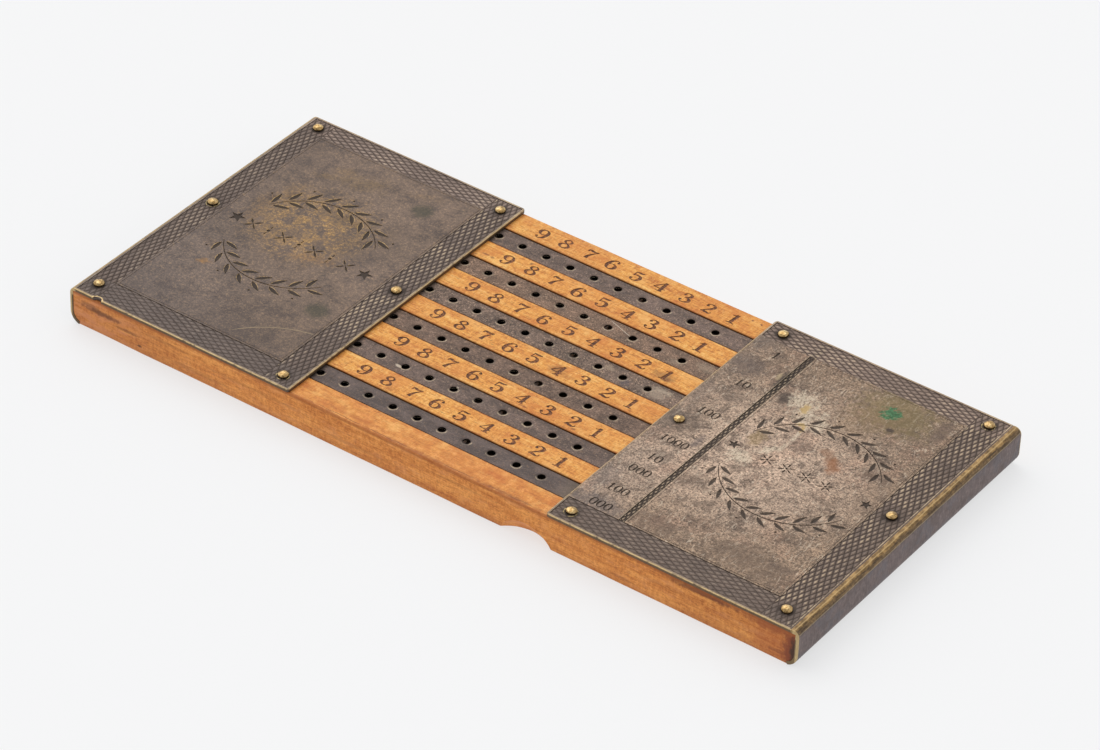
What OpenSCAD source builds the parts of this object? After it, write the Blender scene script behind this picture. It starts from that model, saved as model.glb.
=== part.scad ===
// Pocket slide adding machine: a grooved maple board, six perforated metal
// slides, and two engraved brass covers pinned over the ends of the board.
// Frame: millimetres, +Z up. The origin is under the centre of the covers, on
// the surface that the board rests on. +X runs along the board towards the
// cover where a stroke ends, +Y runs towards the units column.

/* [Board] */
// Length over the two covers
length = 212; // [211:0.5:220]
// Width of the covers
cover_w = 95.25; // [95.25:0.25:98]
// Overhang of the covers past the near side of the board
overhang_near = 0.2; // [0:0.1:0.5]
// Overhang of the covers past the far side of the board
overhang_far = 0.7; // [0:0.1:0.9]
// Thickness of the board (three eighths of an inch)
board_t = 9.5; // [9.5:0.1:12]
// Radius of the bottom corner at each end of the board
end_r = 3.5; // [3:0.1:4.2]

/* [Columns] */
// Distance from one column to the next
row_pitch = 14.32; // [13.6:0.02:14.6]
// Position of the units column across the board
row_first_y = 35.5; // [34:0.1:36.4]
// Width of a groove
groove_w = 7; // [6.9:0.05:7.4]
// Height of the groove floor above the underside
groove_floor = 8.1; // [7.6:0.05:8.1]

/* [Slides] */
// Distance from one stylus hole to the next
hole_pitch = 7.2; // [7:0.05:7.2]
// Radius of a stylus hole
hole_r = 1; // [0.8:0.05:1.15]
// Number of stylus holes in a slide
hole_count = 18; // [10:1:18]
// Position of the stylus hole for 1, at rest
hole_one_x = 26.9; // [25:0.1:28]
// Width of a slide
slide_w = 6.5; // [6.2:0.05:6.6]
// Thickness of a slide over its folded edges
slide_t = 1; // [0.9:0.05:1.1]
// Thickness of the sheet that carries the holes
slide_web = 0.5; // [0.4:0.05:0.6]
// Width of the edge that is folded under on each side
slide_hem = 1.1; // [0.9:0.05:1.2]
// Depth of a slide's top below the top of the board
slide_sink = 0.15; // [0.1:0.05:0.3]
// Gap left at each end of a slide at the end of its travel
slide_gap = 0.2; // [0.1:0.05:0.5]

/* [Covers] */
// Thickness of the cover sheet
cover_t = 0.95; // [0.7:0.05:1.1]
// Length of the left cover, over its bend
left_len = 67.35; // [66.8:0.05:68]
// Length of the right cover, over its bend
right_len = 69.65; // [68.8:0.05:70.2]
// Outer radius of the bend at each end
bend_r = 1.8; // [0.9:0.1:2]
// How far the turned-in lip follows the bottom corner, in degrees
lip_angle = 75; // [40:5:85]
// Rounding of the corners of the covers
corner_r = 0.9; // [0.5:0.1:1.5]

/* [Pins] */
// Radius of a pin head
pin_head_r = 1.42; // [1.2:0.02:1.6]
// Height of a pin head
pin_head_h = 1.05; // [0.7:0.05:1.15]
// Radius of a pin shank
pin_shank_r = 0.55; // [0.4:0.05:0.6]
// Depth of a pin in the board
pin_depth = 7; // [5:0.5:7.5]

/* [Reading holes] */
// Radius of a reading hole at the groove
sight_r = 3; // [2.6:0.1:3.2]
// Radius of a reading hole at the underside
sight_flare_r = 5.6; // [4.5:0.1:6.2]
// Height of the straight part of a reading hole
sight_land = 2.4; // [1:0.1:4]

/* [Springs] */
// Chord of a friction spring
spring_len = 26; // [22:0.5:26]
// Width of a friction spring
spring_w = 5.8; // [5:0.1:6]
// Thickness of the spring strip
spring_t = 0.25; // [0.2:0.01:0.3]
// Depth of the spring pocket below the groove floor
pocket_d = 1.6; // [1.4:0.1:2]
// Position of the middle of the springs along the board
spring_x = -22; // [-24:0.5:-20]
// Width of the slot that clears the stylus tip
spring_slot_w = 2.8; // [2.4:0.1:3]

/* [Finger notch] */
// Position of the notch along the near edge
notch_x = 30.7; // [20:0.1:40]
// Radius of the scooped cut
notch_r = 11; // [10:0.1:12]
// Distance of the centre of the cut outside the near side
notch_out = 6.88; // [6.5:0.05:7.5]
// Depth of the centre of the cut below the underside
notch_drop = 4.2; // [4:0.1:5]

/* [Hidden] */
$fn = 96;

half_l = length / 2;
half_w = cover_w / 2;
board_y0 = -half_w + overhang_near;
board_y1 = half_w - overhang_far;
travel = 9 * hole_pitch;
// the covers' end walls, seen from inside
wall_x = half_l - cover_t;
slide_x0 = -wall_x + slide_gap;
slide_x1 = wall_x - slide_gap - travel;
slide_top = board_t - slide_sink;
slide_bottom = slide_top - slide_t;
channel_w = slide_w - 2 * slide_hem;
// numerals lie midway between two stylus holes
sight_x = hole_one_x - 3.5 * hole_pitch;
numeral_t = 0.15;
numeral_w = channel_w - 0.1;
spring_top = slide_bottom - 0.03;
spring_rise = spring_top - (groove_floor - pocket_d) - 0.02 - spring_t;
spring_rad = (spring_len * spring_len / 4 + spring_rise * spring_rise) / (2 * spring_rise);
// pins, driven by eye: each row stands about 4.5 mm in from a cover's edge,
// and the middle ones stand on the rib between the third and fourth grooves
left_outer_x = -half_l + 4.9;
left_inner_x = -half_l + left_len - 4.6;
right_inner_x = half_l - right_len + 4.3;
right_outer_x = half_l - 6.8;
left_pins = [[left_outer_x, 43.6], [left_outer_x - 0.2, 1.5], [left_outer_x, -42.4],
             [left_inner_x, 43.1], [left_inner_x + 0.3, 0.1], [left_inner_x, -43.6]];
right_pins = [[right_inner_x + 0.3, 43.7], [right_inner_x - 0.3, 0.4], [right_inner_x, -43.4],
              [right_outer_x, 43.8], [right_outer_x + 0.4, 0.6], [right_outer_x, -42.3]];

function row_y(i) = row_first_y - i * row_pitch;

// End profile of the finished object, in the length-height plane.
module outline_2d() {
    translate([-half_l, end_r]) square([length, board_t - end_r]);
    translate([-half_l + end_r, 0]) square([length - 2 * end_r, board_t]);
    for (s = [-1, 1]) translate([s * (half_l - end_r), end_r]) circle(end_r);
}

// The part of a cover that lies below the top of the board: the end wall and
// the lip that follows the rounded bottom corner. Drawn for the right end.
module end_wall_2d() {
    translate([wall_x, end_r]) square([cover_t, board_t - end_r]);
    translate([half_l - end_r, end_r])
        intersection() {
            difference() {
                circle(end_r);
                circle(end_r - cover_t);
            }
            polygon([[0, 0], [2 * end_r, 0], [2 * end_r, -2 * end_r],
                     [2.83 * end_r * cos(lip_angle), -2.83 * end_r * sin(lip_angle)]]);
        }
}

// Length-height profile of a cover of length len, for the right end.
module cover_2d(len) {
    translate([half_l - len, board_t]) square([len - bend_r, cover_t]);
    intersection() {
        translate([half_l - bend_r, board_t + cover_t - bend_r]) circle(bend_r);
        translate([half_l - bend_r, board_t]) square([bend_r, cover_t]);
    }
    intersection() {
        union() {
            end_wall_2d();
            translate([wall_x, board_t - 0.5]) square([cover_t, 0.5]);
        }
        union() {
            square([2 * half_l, board_t + cover_t - bend_r]);
            translate([half_l - bend_r, board_t + cover_t - bend_r]) circle(bend_r);
            square([half_l - bend_r, 2 * board_t]);
        }
    }
}

module cover_plan(x0, x1) {
    r = corner_r;
    translate([x0 + r, -half_w]) square([x1 - x0 - 2 * r, cover_w]);
    translate([x0, -half_w + r]) square([x1 - x0, cover_w - 2 * r]);
    for (x = [x0 + r, x1 - r], y = [-half_w + r, half_w - r]) translate([x, y]) circle(r);
}

module cover(len, pins, side) {
    difference() {
        intersection() {
            mirror([side < 0 ? 1 : 0, 0, 0])
                rotate([90, 0, 0])
                    translate([0, 0, -half_w]) linear_extrude(cover_w) cover_2d(len);
            translate([0, 0, -1]) linear_extrude(board_t + 4)
                cover_plan(side < 0 ? -half_l : half_l - len, side < 0 ? -half_l + len : half_l);
        }
        for (p = pins)
            translate([p[0], p[1], board_t - 1]) cylinder(r = pin_shank_r, h = 4, $fn = 48);
    }
}

module left_cover() {
    color([0.36, 0.31, 0.26]) cover(left_len, left_pins, -1);
}

module right_cover() {
    color([0.52, 0.46, 0.41]) cover(right_len, right_pins, 1);
}

// Escutcheon pin: a domed head on a plain shank, tip rounded off short.
module pin(x, y) {
    dome = (pin_head_r * pin_head_r + pin_head_h * pin_head_h) / (2 * pin_head_h);
    top = board_t + cover_t;
    translate([x, y, 0]) {
        intersection() {
            translate([0, 0, top + pin_head_h - dome]) sphere(dome);
            translate([0, 0, top]) cylinder(r = pin_head_r, h = pin_head_h + 1);
        }
        translate([0, 0, board_t - pin_depth]) cylinder(r = pin_shank_r, h = pin_depth + cover_t + 0.2, $fn = 48);
    }
}

module left_cover_pins() {
    color([0.74, 0.57, 0.3]) for (p = left_pins) pin(p[0], p[1]);
}

module right_cover_pins() {
    color([0.74, 0.57, 0.3]) for (p = right_pins) pin(p[0], p[1]);
}

module wooden_base() {
    color([0.8, 0.52, 0.27])
    difference() {
        translate([0, board_y1, 0]) rotate([90, 0, 0]) linear_extrude(board_y1 - board_y0)
            difference() {
                outline_2d();
                end_wall_2d();
                mirror([1, 0]) end_wall_2d();
            }
        // six grooves, planed through from end to end
        for (i = [0:5])
            translate([-half_l - 1, row_y(i) - groove_w / 2, groove_floor])
                cube([length + 2, groove_w, board_t]);
        // pockets under the friction springs
        for (i = [0:5])
            translate([spring_x - spring_len / 2 - 1, row_y(i) - spring_w / 2 - 0.2, groove_floor - pocket_d])
                cube([spring_len + 2, spring_w + 0.4, pocket_d + 1]);
        // countersunk reading holes
        for (i = [0:5]) translate([sight_x, row_y(i), 0]) {
            translate([0, 0, -1]) cylinder(r = sight_r, h = board_t);
            translate([0, 0, 0]) cylinder(r1 = sight_flare_r, r2 = sight_r, h = groove_floor - sight_land);
        }
        // holes for the pins
        for (p = concat(left_pins, right_pins))
            translate([p[0], p[1], board_t - pin_depth]) cylinder(r = pin_shank_r, h = pin_depth + 1, $fn = 48);
        // scooped finger notch in the near bottom edge
        translate([notch_x, board_y0 - notch_out, -notch_drop]) sphere(notch_r);
    }
}

// A perforated slide: sheet metal with both long edges folded under.
module slide(i) {
    color([0.33, 0.29, 0.27])
    translate([0, row_y(i), 0])
    difference() {
        translate([slide_x0, -slide_w / 2, slide_bottom]) cube([slide_x1 - slide_x0, slide_w, slide_t]);
        translate([slide_x0 - 1, -channel_w / 2, slide_bottom - 1])
            cube([slide_x1 - slide_x0 + 2, channel_w, slide_t - slide_web + 1]);
        for (k = [0:hole_count - 1])
            translate([hole_one_x - k * hole_pitch, 0, slide_bottom - 1]) cylinder(r = hole_r, h = slide_t + 2, $fn = 48);
    }
}

// The numeral strip that lies in the channel under a slide, punched to match.
module numerals(i) {
    x0 = sight_x - travel - 4;
    x1 = sight_x + 4;
    color([0.86, 0.8, 0.66])
    translate([0, row_y(i), slide_top - slide_web - numeral_t])
    difference() {
        translate([x0, -numeral_w / 2, 0]) cube([x1 - x0, numeral_w, numeral_t]);
        for (k = [0:hole_count - 1])
            translate([hole_one_x - k * hole_pitch, 0, -1]) cylinder(r = hole_r + 0.15, h = 2, $fn = 48);
    }
}

// A bowed and slotted friction spring: its ends stand in the pocket and its
// two rails bear on the folded edges of the slide.
module spring(i) {
    color([0.45, 0.45, 0.47])
    translate([spring_x, row_y(i), 0])
    difference() {
        translate([0, spring_w / 2, spring_top - spring_rad]) rotate([90, 0, 0]) linear_extrude(spring_w)
            intersection() {
                difference() {
                    circle(spring_rad, $fn = 360);
                    circle(spring_rad - spring_t, $fn = 360);
                }
                translate([-spring_len / 2, 0]) square([spring_len, 2 * spring_rad]);
            }
        for (s = [-1, 1]) translate([s * (spring_len / 2 - 4.5), 0, 0]) cylinder(d = spring_slot_w, h = 20, $fn = 48);
        translate([-spring_len / 2 + 4.5, -spring_slot_w / 2, 0]) cube([spring_len - 9, spring_slot_w, 20]);
    }
}

module slide_units() { slide(0); }
module slide_tens() { slide(1); }
module slide_hundreds() { slide(2); }
module slide_thousands() { slide(3); }
module slide_ten_thousands() { slide(4); }
module slide_hundred_thousands() { slide(5); }
module numerals_units() { numerals(0); }
module numerals_tens() { numerals(1); }
module numerals_hundreds() { numerals(2); }
module numerals_thousands() { numerals(3); }
module numerals_ten_thousands() { numerals(4); }
module numerals_hundred_thousands() { numerals(5); }
module spring_units() { spring(0); }
module spring_tens() { spring(1); }
module spring_hundreds() { spring(2); }
module spring_thousands() { spring(3); }
module spring_ten_thousands() { spring(4); }
module spring_hundred_thousands() { spring(5); }

wooden_base();
left_cover();
right_cover();
left_cover_pins();
right_cover_pins();
slide_units();
slide_tens();
slide_hundreds();
slide_thousands();
slide_ten_thousands();
slide_hundred_thousands();
numerals_units();
numerals_tens();
numerals_hundreds();
numerals_thousands();
numerals_ten_thousands();
numerals_hundred_thousands();
spring_units();
spring_tens();
spring_hundreds();
spring_thousands();
spring_ten_thousands();
spring_hundred_thousands();
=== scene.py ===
import math
import random

import bmesh
import bpy
import numpy as np
from mathutils import Matrix, Vector, noise as mnoise


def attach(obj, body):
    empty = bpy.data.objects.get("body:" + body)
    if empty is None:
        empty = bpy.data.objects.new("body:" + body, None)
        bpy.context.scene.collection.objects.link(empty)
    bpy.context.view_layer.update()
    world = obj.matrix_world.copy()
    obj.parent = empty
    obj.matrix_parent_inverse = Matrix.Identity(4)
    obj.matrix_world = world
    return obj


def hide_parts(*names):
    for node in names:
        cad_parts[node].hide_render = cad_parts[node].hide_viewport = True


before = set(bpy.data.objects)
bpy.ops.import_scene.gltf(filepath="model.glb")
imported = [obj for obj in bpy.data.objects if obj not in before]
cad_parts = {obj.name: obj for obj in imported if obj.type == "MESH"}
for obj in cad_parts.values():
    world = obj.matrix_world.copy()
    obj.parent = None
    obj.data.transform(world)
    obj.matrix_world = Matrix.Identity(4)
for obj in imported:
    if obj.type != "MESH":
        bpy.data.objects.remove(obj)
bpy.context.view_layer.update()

scene = bpy.context.scene

# ---------------------------------------------------------------- dimensions (mm)
HL, HW = 106.0, 47.625
BT, CT = 9.5, 0.95
TOP = BT + CT
ENDR, BENDR = 3.5, 1.8
WALLX = HL - CT
Y0, Y1 = -HW + 0.2, HW - 0.7
ROW = [35.5 - 14.32 * i for i in range(6)]
GW, GF = 7.0, 8.1
LX1 = -HL + 67.35
RX0 = HL - 69.65
HOLE1, HP = 26.9, 7.2
SW, ST = 6.5, 1.0
S_TOP = BT - 0.15
S_X0, S_X1 = -WALLX + 0.2, WALLX - 0.2 - 9 * HP
SIGHT_X = HOLE1 - 3.5 * HP
LP = [(-101.1, 43.6), (-101.3, 1.5), (-101.1, -42.4), (-43.25, 43.1), (-42.95, 0.1), (-43.25, -43.6)]
RP = [(40.95, 43.7), (40.35, 0.4), (40.65, -43.4), (99.2, 43.8), (99.6, 0.6), (99.2, -42.3)]
COLS = ["units", "tens", "hundreds", "thousands", "ten_thousands", "hundred_thousands"]


# ---------------------------------------------------------------- mesh helpers
def new_obj(name, verts, faces, mats=(), idx=None, smooth=None):
    me = bpy.data.meshes.new(name)
    me.from_pydata([tuple(v) for v in verts], [], [tuple(f) for f in faces])
    for m in mats:
        me.materials.append(m)
    if idx is not None:
        me.polygons.foreach_set("material_index", np.array(idx, np.int32))
    me.update()
    ob = bpy.data.objects.new(name, me)
    scene.collection.objects.link(ob)
    fix_normals(ob)
    if smooth is not None:
        shade(ob, smooth)
    return ob


def fix_normals(ob):
    bm = bmesh.new()
    bm.from_mesh(ob.data)
    bmesh.ops.recalc_face_normals(bm, faces=bm.faces)
    bm.to_mesh(ob.data)
    bm.free()


def shade(ob, deg):
    me = ob.data
    me.polygons.foreach_set("use_smooth", np.ones(len(me.polygons), bool))
    me.set_sharp_from_angle(angle=math.radians(deg))
    me.update()


def boolean(ob, cutter, op="DIFFERENCE", self_cut=False):
    mod = ob.modifiers.new("b", "BOOLEAN")
    mod.operation = op
    mod.object = cutter
    mod.solver = "EXACT"
    mod.use_self = self_cut
    try:
        mod.material_mode = "INDEX"
    except Exception:
        pass
    bpy.context.view_layer.update()
    dg = bpy.context.evaluated_depsgraph_get()
    me = bpy.data.meshes.new_from_object(ob.evaluated_get(dg), preserve_all_data_layers=True, depsgraph=dg)
    ob.modifiers.clear()
    old = ob.data
    ob.data = me
    bpy.data.meshes.remove(old)
    drop(cutter)
    return ob


def drop(ob):
    me = ob.data
    bpy.data.objects.remove(ob)
    if me.users == 0:
        bpy.data.meshes.remove(me)


class Soup:
    """Collects closed solids into one mesh."""

    def __init__(self):
        self.v, self.f, self.m = [], [], []

    def add(self, verts, faces, mat=0):
        n = len(self.v)
        self.v.extend(verts)
        self.f.extend([tuple(i + n for i in f) for f in faces])
        self.m.extend([mat] * len(faces))

    def box(self, x0, x1, y0, y1, z0, z1, mat=0):
        v = [(x, y, z) for z in (z0, z1) for y in (y0, y1) for x in (x0, x1)]
        f = [(0, 2, 3, 1), (4, 5, 7, 6), (0, 1, 5, 4), (2, 6, 7, 3), (0, 4, 6, 2), (1, 3, 7, 5)]
        self.add(v, f, mat)

    def rects(self, rs, z0, z1, mat=0):
        """One closed solid over a union of rectangles (x0, x1, y0, y1)."""
        xs = sorted({v for r in rs for v in r[:2]})
        ys = sorted({v for r in rs for v in r[2:]})
        nx, ny = len(xs) - 1, len(ys) - 1

        def on(i, j):
            if not (0 <= i < nx and 0 <= j < ny):
                return False
            cx, cy = (xs[i] + xs[i + 1]) / 2, (ys[j] + ys[j + 1]) / 2
            return any(r[0] < cx < r[1] and r[2] < cy < r[3] for r in rs)
        ids, v, f = {}, [], []

        def vid(i, j, k):
            if (i, j, k) not in ids:
                ids[(i, j, k)] = len(v)
                v.append((xs[i], ys[j], (z0, z1)[k]))
            return ids[(i, j, k)]
        for i in range(nx):
            for j in range(ny):
                if not on(i, j):
                    continue
                f.append((vid(i, j, 0), vid(i, j + 1, 0), vid(i + 1, j + 1, 0), vid(i + 1, j, 0)))
                f.append((vid(i, j, 1), vid(i + 1, j, 1), vid(i + 1, j + 1, 1), vid(i, j + 1, 1)))
                for di, dj, a, b in ((-1, 0, (i, j + 1), (i, j)), (1, 0, (i + 1, j), (i + 1, j + 1)), (0, -1, (i, j), (i + 1, j)), (0, 1, (i + 1, j + 1), (i, j + 1))):
                    if not on(i + di, j + dj):
                        f.append((vid(*a, 0), vid(*b, 0), vid(*b, 1), vid(*a, 1)))
        self.add(v, f, mat)

    def prism(self, pts, z0, z1, mat=0):
        """Closed prism over a simple polygon given as xy points."""
        n = len(pts)
        v = [(x, y, z0) for x, y in pts] + [(x, y, z1) for x, y in pts]
        f = [tuple(range(n - 1, -1, -1)), tuple(range(n, 2 * n))]
        f += [(i, (i + 1) % n, (i + 1) % n + n, i + n) for i in range(n)]
        self.add(v, f, mat)

    def lathe(self, prof, cx, cy, n=48, mat=0, fn=None):
        """Closed lathe of (radius, z) points from bottom to top about a vertical axis."""
        v, f = [], []
        rings = []
        for r, z in prof:
            if r < 1e-9:
                rings.append([len(v)])
                v.append((cx, cy, z))
            else:
                ring = []
                for k in range(n):
                    a = 2 * math.pi * k / n
                    x, y, zz = r * math.cos(a), r * math.sin(a), z
                    if fn:
                        x, y, zz = fn(x, y, zz)
                    ring.append(len(v))
                    v.append((cx + x, cy + y, zz))
                rings.append(ring)
        for a, b in zip(rings, rings[1:]):
            for k in range(n):
                k2 = (k + 1) % n
                if len(a) == 1 and len(b) == 1:
                    continue
                if len(a) == 1:
                    f.append((a[0], b[k], b[k2]))
                elif len(b) == 1:
                    f.append((a[k], b[0], a[k2]))
                else:
                    f.append((a[k], b[k], b[k2], a[k2]))
        for ring, flip in ((rings[0], False), (rings[-1], True)):
            if len(ring) > 1:
                f.append(tuple(ring if flip else reversed(ring)))
        self.add(v, f, mat)

    def ribbon(self, pts, widths, z0, z1, mat=0, to=None, taper=1.0):
        """Closed strip of varying width along a path. taper scales the width at z0."""
        n = len(pts)
        P = np.array(pts, float)
        T = np.gradient(P, axis=0)
        T /= np.maximum(np.linalg.norm(T, axis=1), 1e-9)[:, None]
        N = np.stack([-T[:, 1], T[:, 0]], 1)
        w = np.array(widths, float)[:, None] / 2
        top = [P + N * w, P - N * w]
        bot = [P + N * w * taper, P - N * w * taper]
        v = []
        for k in range(n):
            for src, z in ((top[0], z1), (top[1], z1), (bot[1], z0), (bot[0], z0)):
                x, y = src[k]
                if to:
                    x, y = to(x, y)
                v.append((x, y, z))
        f = [(0, 1, 2, 3)]
        for k in range(n - 1):
            a, b = 4 * k, 4 * k + 4
            for j in range(4):
                j2 = (j + 1) % 4
                f.append((a + j, b + j, b + j2, a + j2))
        e = 4 * (n - 1)
        f.append((e + 3, e + 2, e + 1, e))
        self.add(v, f, mat)

    def obj(self, name, mats=(), smooth=None):
        return new_obj(name, self.v, self.f, mats, self.m, smooth)


def loft(rings, closed_ends=True):
    """Verts and faces through equal rings of points."""
    n = len(rings[0])
    v = [p for r in rings for p in r]
    f = []
    for i in range(len(rings) - 1):
        a, b = i * n, (i + 1) * n
        for j in range(n):
            j2 = (j + 1) % n
            f.append((a + j, a + j2, b + j2, b + j))
    if closed_ends:
        f.append(tuple(range(n - 1, -1, -1)))
        e = (len(rings) - 1) * n
        f.append(tuple(range(e, e + n)))
    return v, f


def smooth_path(ctrl, per=7):
    """Catmull-Rom through control points (x, y, width)."""
    P = [np.array(c, float) for c in ctrl]
    if len(P) < 3:
        return [tuple(p) for p in P]
    P = [2 * P[0] - P[1]] + P + [2 * P[-1] - P[-2]]
    out = []
    for i in range(1, len(P) - 2):
        for k in range(per):
            t = k / per
            a, b, c, d = P[i - 1], P[i], P[i + 1], P[i + 2]
            out.append(0.5 * ((2 * b) + (-a + c) * t + (2 * a - 5 * b + 4 * c - d) * t * t + (-a + 3 * b - 3 * c + d) * t ** 3))
    out.append(P[-2])
    return out


# Numerals in a box one high: strokes as (x, y, width) and ball ends as (x, y, radius).
GLYPHS = {
    "1": ([[(0.31, 0.03, 0.13), (0.31, 0.5, 0.12), (0.32, 0.99, 0.13)],
           [(0.10, 0.025, 0.05), (0.31, 0.04, 0.06), (0.53, 0.025, 0.05)],
           [(0.33, 0.97, 0.08), (0.22, 0.86, 0.05), (0.09, 0.80, 0.05)]], []),
    "2": ([[(0.11, 0.74, 0.05), (0.13, 0.88, 0.055), (0.29, 0.975, 0.06), (0.47, 0.88, 0.11), (0.51, 0.71, 0.135), (0.42, 0.51, 0.11), (0.24, 0.30, 0.065), (0.08, 0.09, 0.05)],
           [(0.06, 0.05, 0.05), (0.17, 0.12, 0.11), (0.32, 0.075, 0.13), (0.45, 0.035, 0.09), (0.54, 0.08, 0.05), (0.57, 0.21, 0.04)]], [(0.15, 0.74, 0.075)]),
    "3": ([[(0.12, 0.80, 0.05), (0.16, 0.92, 0.05), (0.30, 0.975, 0.06), (0.45, 0.88, 0.115), (0.46, 0.72, 0.125), (0.36, 0.58, 0.07), (0.22, 0.535, 0.045)],
           [(0.22, 0.535, 0.045), (0.40, 0.50, 0.08), (0.53, 0.35, 0.135), (0.51, 0.16, 0.125), (0.34, 0.025, 0.06), (0.16, 0.06, 0.05), (0.09, 0.20, 0.05)]], [(0.14, 0.79, 0.07), (0.12, 0.21, 0.075)]),
    "4": ([[(0.43, 0.98, 0.07), (0.23, 0.66, 0.05), (0.03, 0.32, 0.05)],
           [(0.02, 0.30, 0.05), (0.3, 0.30, 0.05), (0.62, 0.30, 0.05)],
           [(0.43, 0.99, 0.10), (0.43, 0.5, 0.125), (0.43, 0.03, 0.125)],
           [(0.26, 0.025, 0.05), (0.43, 0.03, 0.05), (0.60, 0.025, 0.05)]], []),
    "5": ([[(0.13, 0.94, 0.06), (0.25, 0.91, 0.10), (0.40, 0.91, 0.10), (0.53, 0.97, 0.05)],
           [(0.13, 0.96, 0.055), (0.12, 0.75, 0.045), (0.105, 0.52, 0.045)],
           [(0.11, 0.52, 0.045), (0.22, 0.605, 0.055), (0.37, 0.61, 0.09), (0.50, 0.50, 0.125), (0.53, 0.31, 0.135), (0.46, 0.12, 0.10), (0.31, 0.025, 0.055), (0.15, 0.06, 0.05), (0.08, 0.18, 0.05)]], [(0.12, 0.20, 0.075)]),
    "6": ([[(0.49, 0.84, 0.05), (0.45, 0.93, 0.045), (0.33, 0.975, 0.05), (0.17, 0.86, 0.09), (0.09, 0.62, 0.12), (0.08, 0.36, 0.135), (0.14, 0.13, 0.10), (0.30, 0.025, 0.055), (0.46, 0.11, 0.10), (0.52, 0.30, 0.13), (0.45, 0.49, 0.09), (0.31, 0.565, 0.05), (0.17, 0.50, 0.05), (0.11, 0.38, 0.06)]], [(0.46, 0.83, 0.07)]),
    "7": ([[(0.07, 0.76, 0.05), (0.09, 0.93, 0.06), (0.19, 0.93, 0.12), (0.33, 0.89, 0.11), (0.46, 0.93, 0.06), (0.57, 0.985, 0.05)],
           [(0.57, 0.98, 0.05), (0.42, 0.68, 0.06), (0.31, 0.40, 0.10), (0.27, 0.06, 0.15)]], [(0.08, 0.80, 0.045)]),
    "8": ([[(0.31, 0.55, 0.05), (0.15, 0.66, 0.09), (0.13, 0.82, 0.09), (0.29, 0.975, 0.05), (0.45, 0.85, 0.08), (0.45, 0.70, 0.08), (0.31, 0.55, 0.05)],
           [(0.31, 0.55, 0.06), (0.12, 0.40, 0.09), (0.08, 0.24, 0.12), (0.16, 0.08, 0.09), (0.30, 0.025, 0.055), (0.46, 0.09, 0.09), (0.53, 0.25, 0.12), (0.48, 0.42, 0.09), (0.31, 0.55, 0.06)]], []),
    "9": None,
    "0": ([[(0.31, 0.975, 0.05), (0.15, 0.87, 0.09), (0.08, 0.62, 0.13), (0.08, 0.38, 0.13), (0.15, 0.13, 0.09), (0.31, 0.025, 0.05), (0.47, 0.13, 0.09), (0.54, 0.38, 0.13), (0.54, 0.62, 0.13), (0.47, 0.87, 0.09), (0.31, 0.975, 0.05)]], []),
}
GLYPHS["9"] = ([[(0.62 - x, 1 - y, w) for x, y, w in s] for s in GLYPHS["6"][0]], [(0.62 - x, 1 - y, r) for x, y, r in GLYPHS["6"][1]])


UNITED = {}


def united(ch, bold):
    """One numeral as a single closed solid in a unit box, its strokes merged."""
    key = (ch, bold)
    if key not in UNITED:
        strokes, balls = GLYPHS[ch]
        s = Soup()
        for st in strokes:
            pts = smooth_path(st, 5)
            s.ribbon([(p[0], p[1]) for p in pts], [max(p[2], 0.03) * bold for p in pts], 0, 1)
        for x, y, r in balls:
            s.lathe([(r * bold ** 0.4, 0), (r * bold ** 0.4, 1)], x, y, 14)
        ob = s.obj("glyph_" + ch)
        b = Soup()
        b.box(-1, 2, -1, 2, 0.001, 0.999)
        boolean(ob, b.obj("glyph_box"), "INTERSECT", True)
        UNITED[key] = ([(v.co.x - 0.31, v.co.y - 0.5, v.co.z) for v in ob.data.vertices], [tuple(f.vertices) for f in ob.data.polygons])
        drop(ob)
    return UNITED[key]


def glyph(soup, ch, place, h, z0, z1, mat=0, bold=1.0, slant=0.0, wide=1.0):
    """Adds a numeral. place(x, y) maps numeral millimetres, centred, to the surface."""
    v, f = united(ch, bold)
    out = []
    for x, y, z in v:
        a, b = place((x * wide + slant * y) * h, y * h)
        out.append((a, b, z0 + z * (z1 - z0)))
    soup.add(out, f, mat)


def to_metres(ob):
    ob.data.transform(Matrix.Scale(0.001, 4))
    ob.data.update()
    return ob


# ---------------------------------------------------------------- materials
def lin(c):
    return tuple(((v / 255) / 12.92 if v / 255 <= 0.04045 else ((v / 255 + 0.055) / 1.055) ** 2.4) for v in c)


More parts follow.
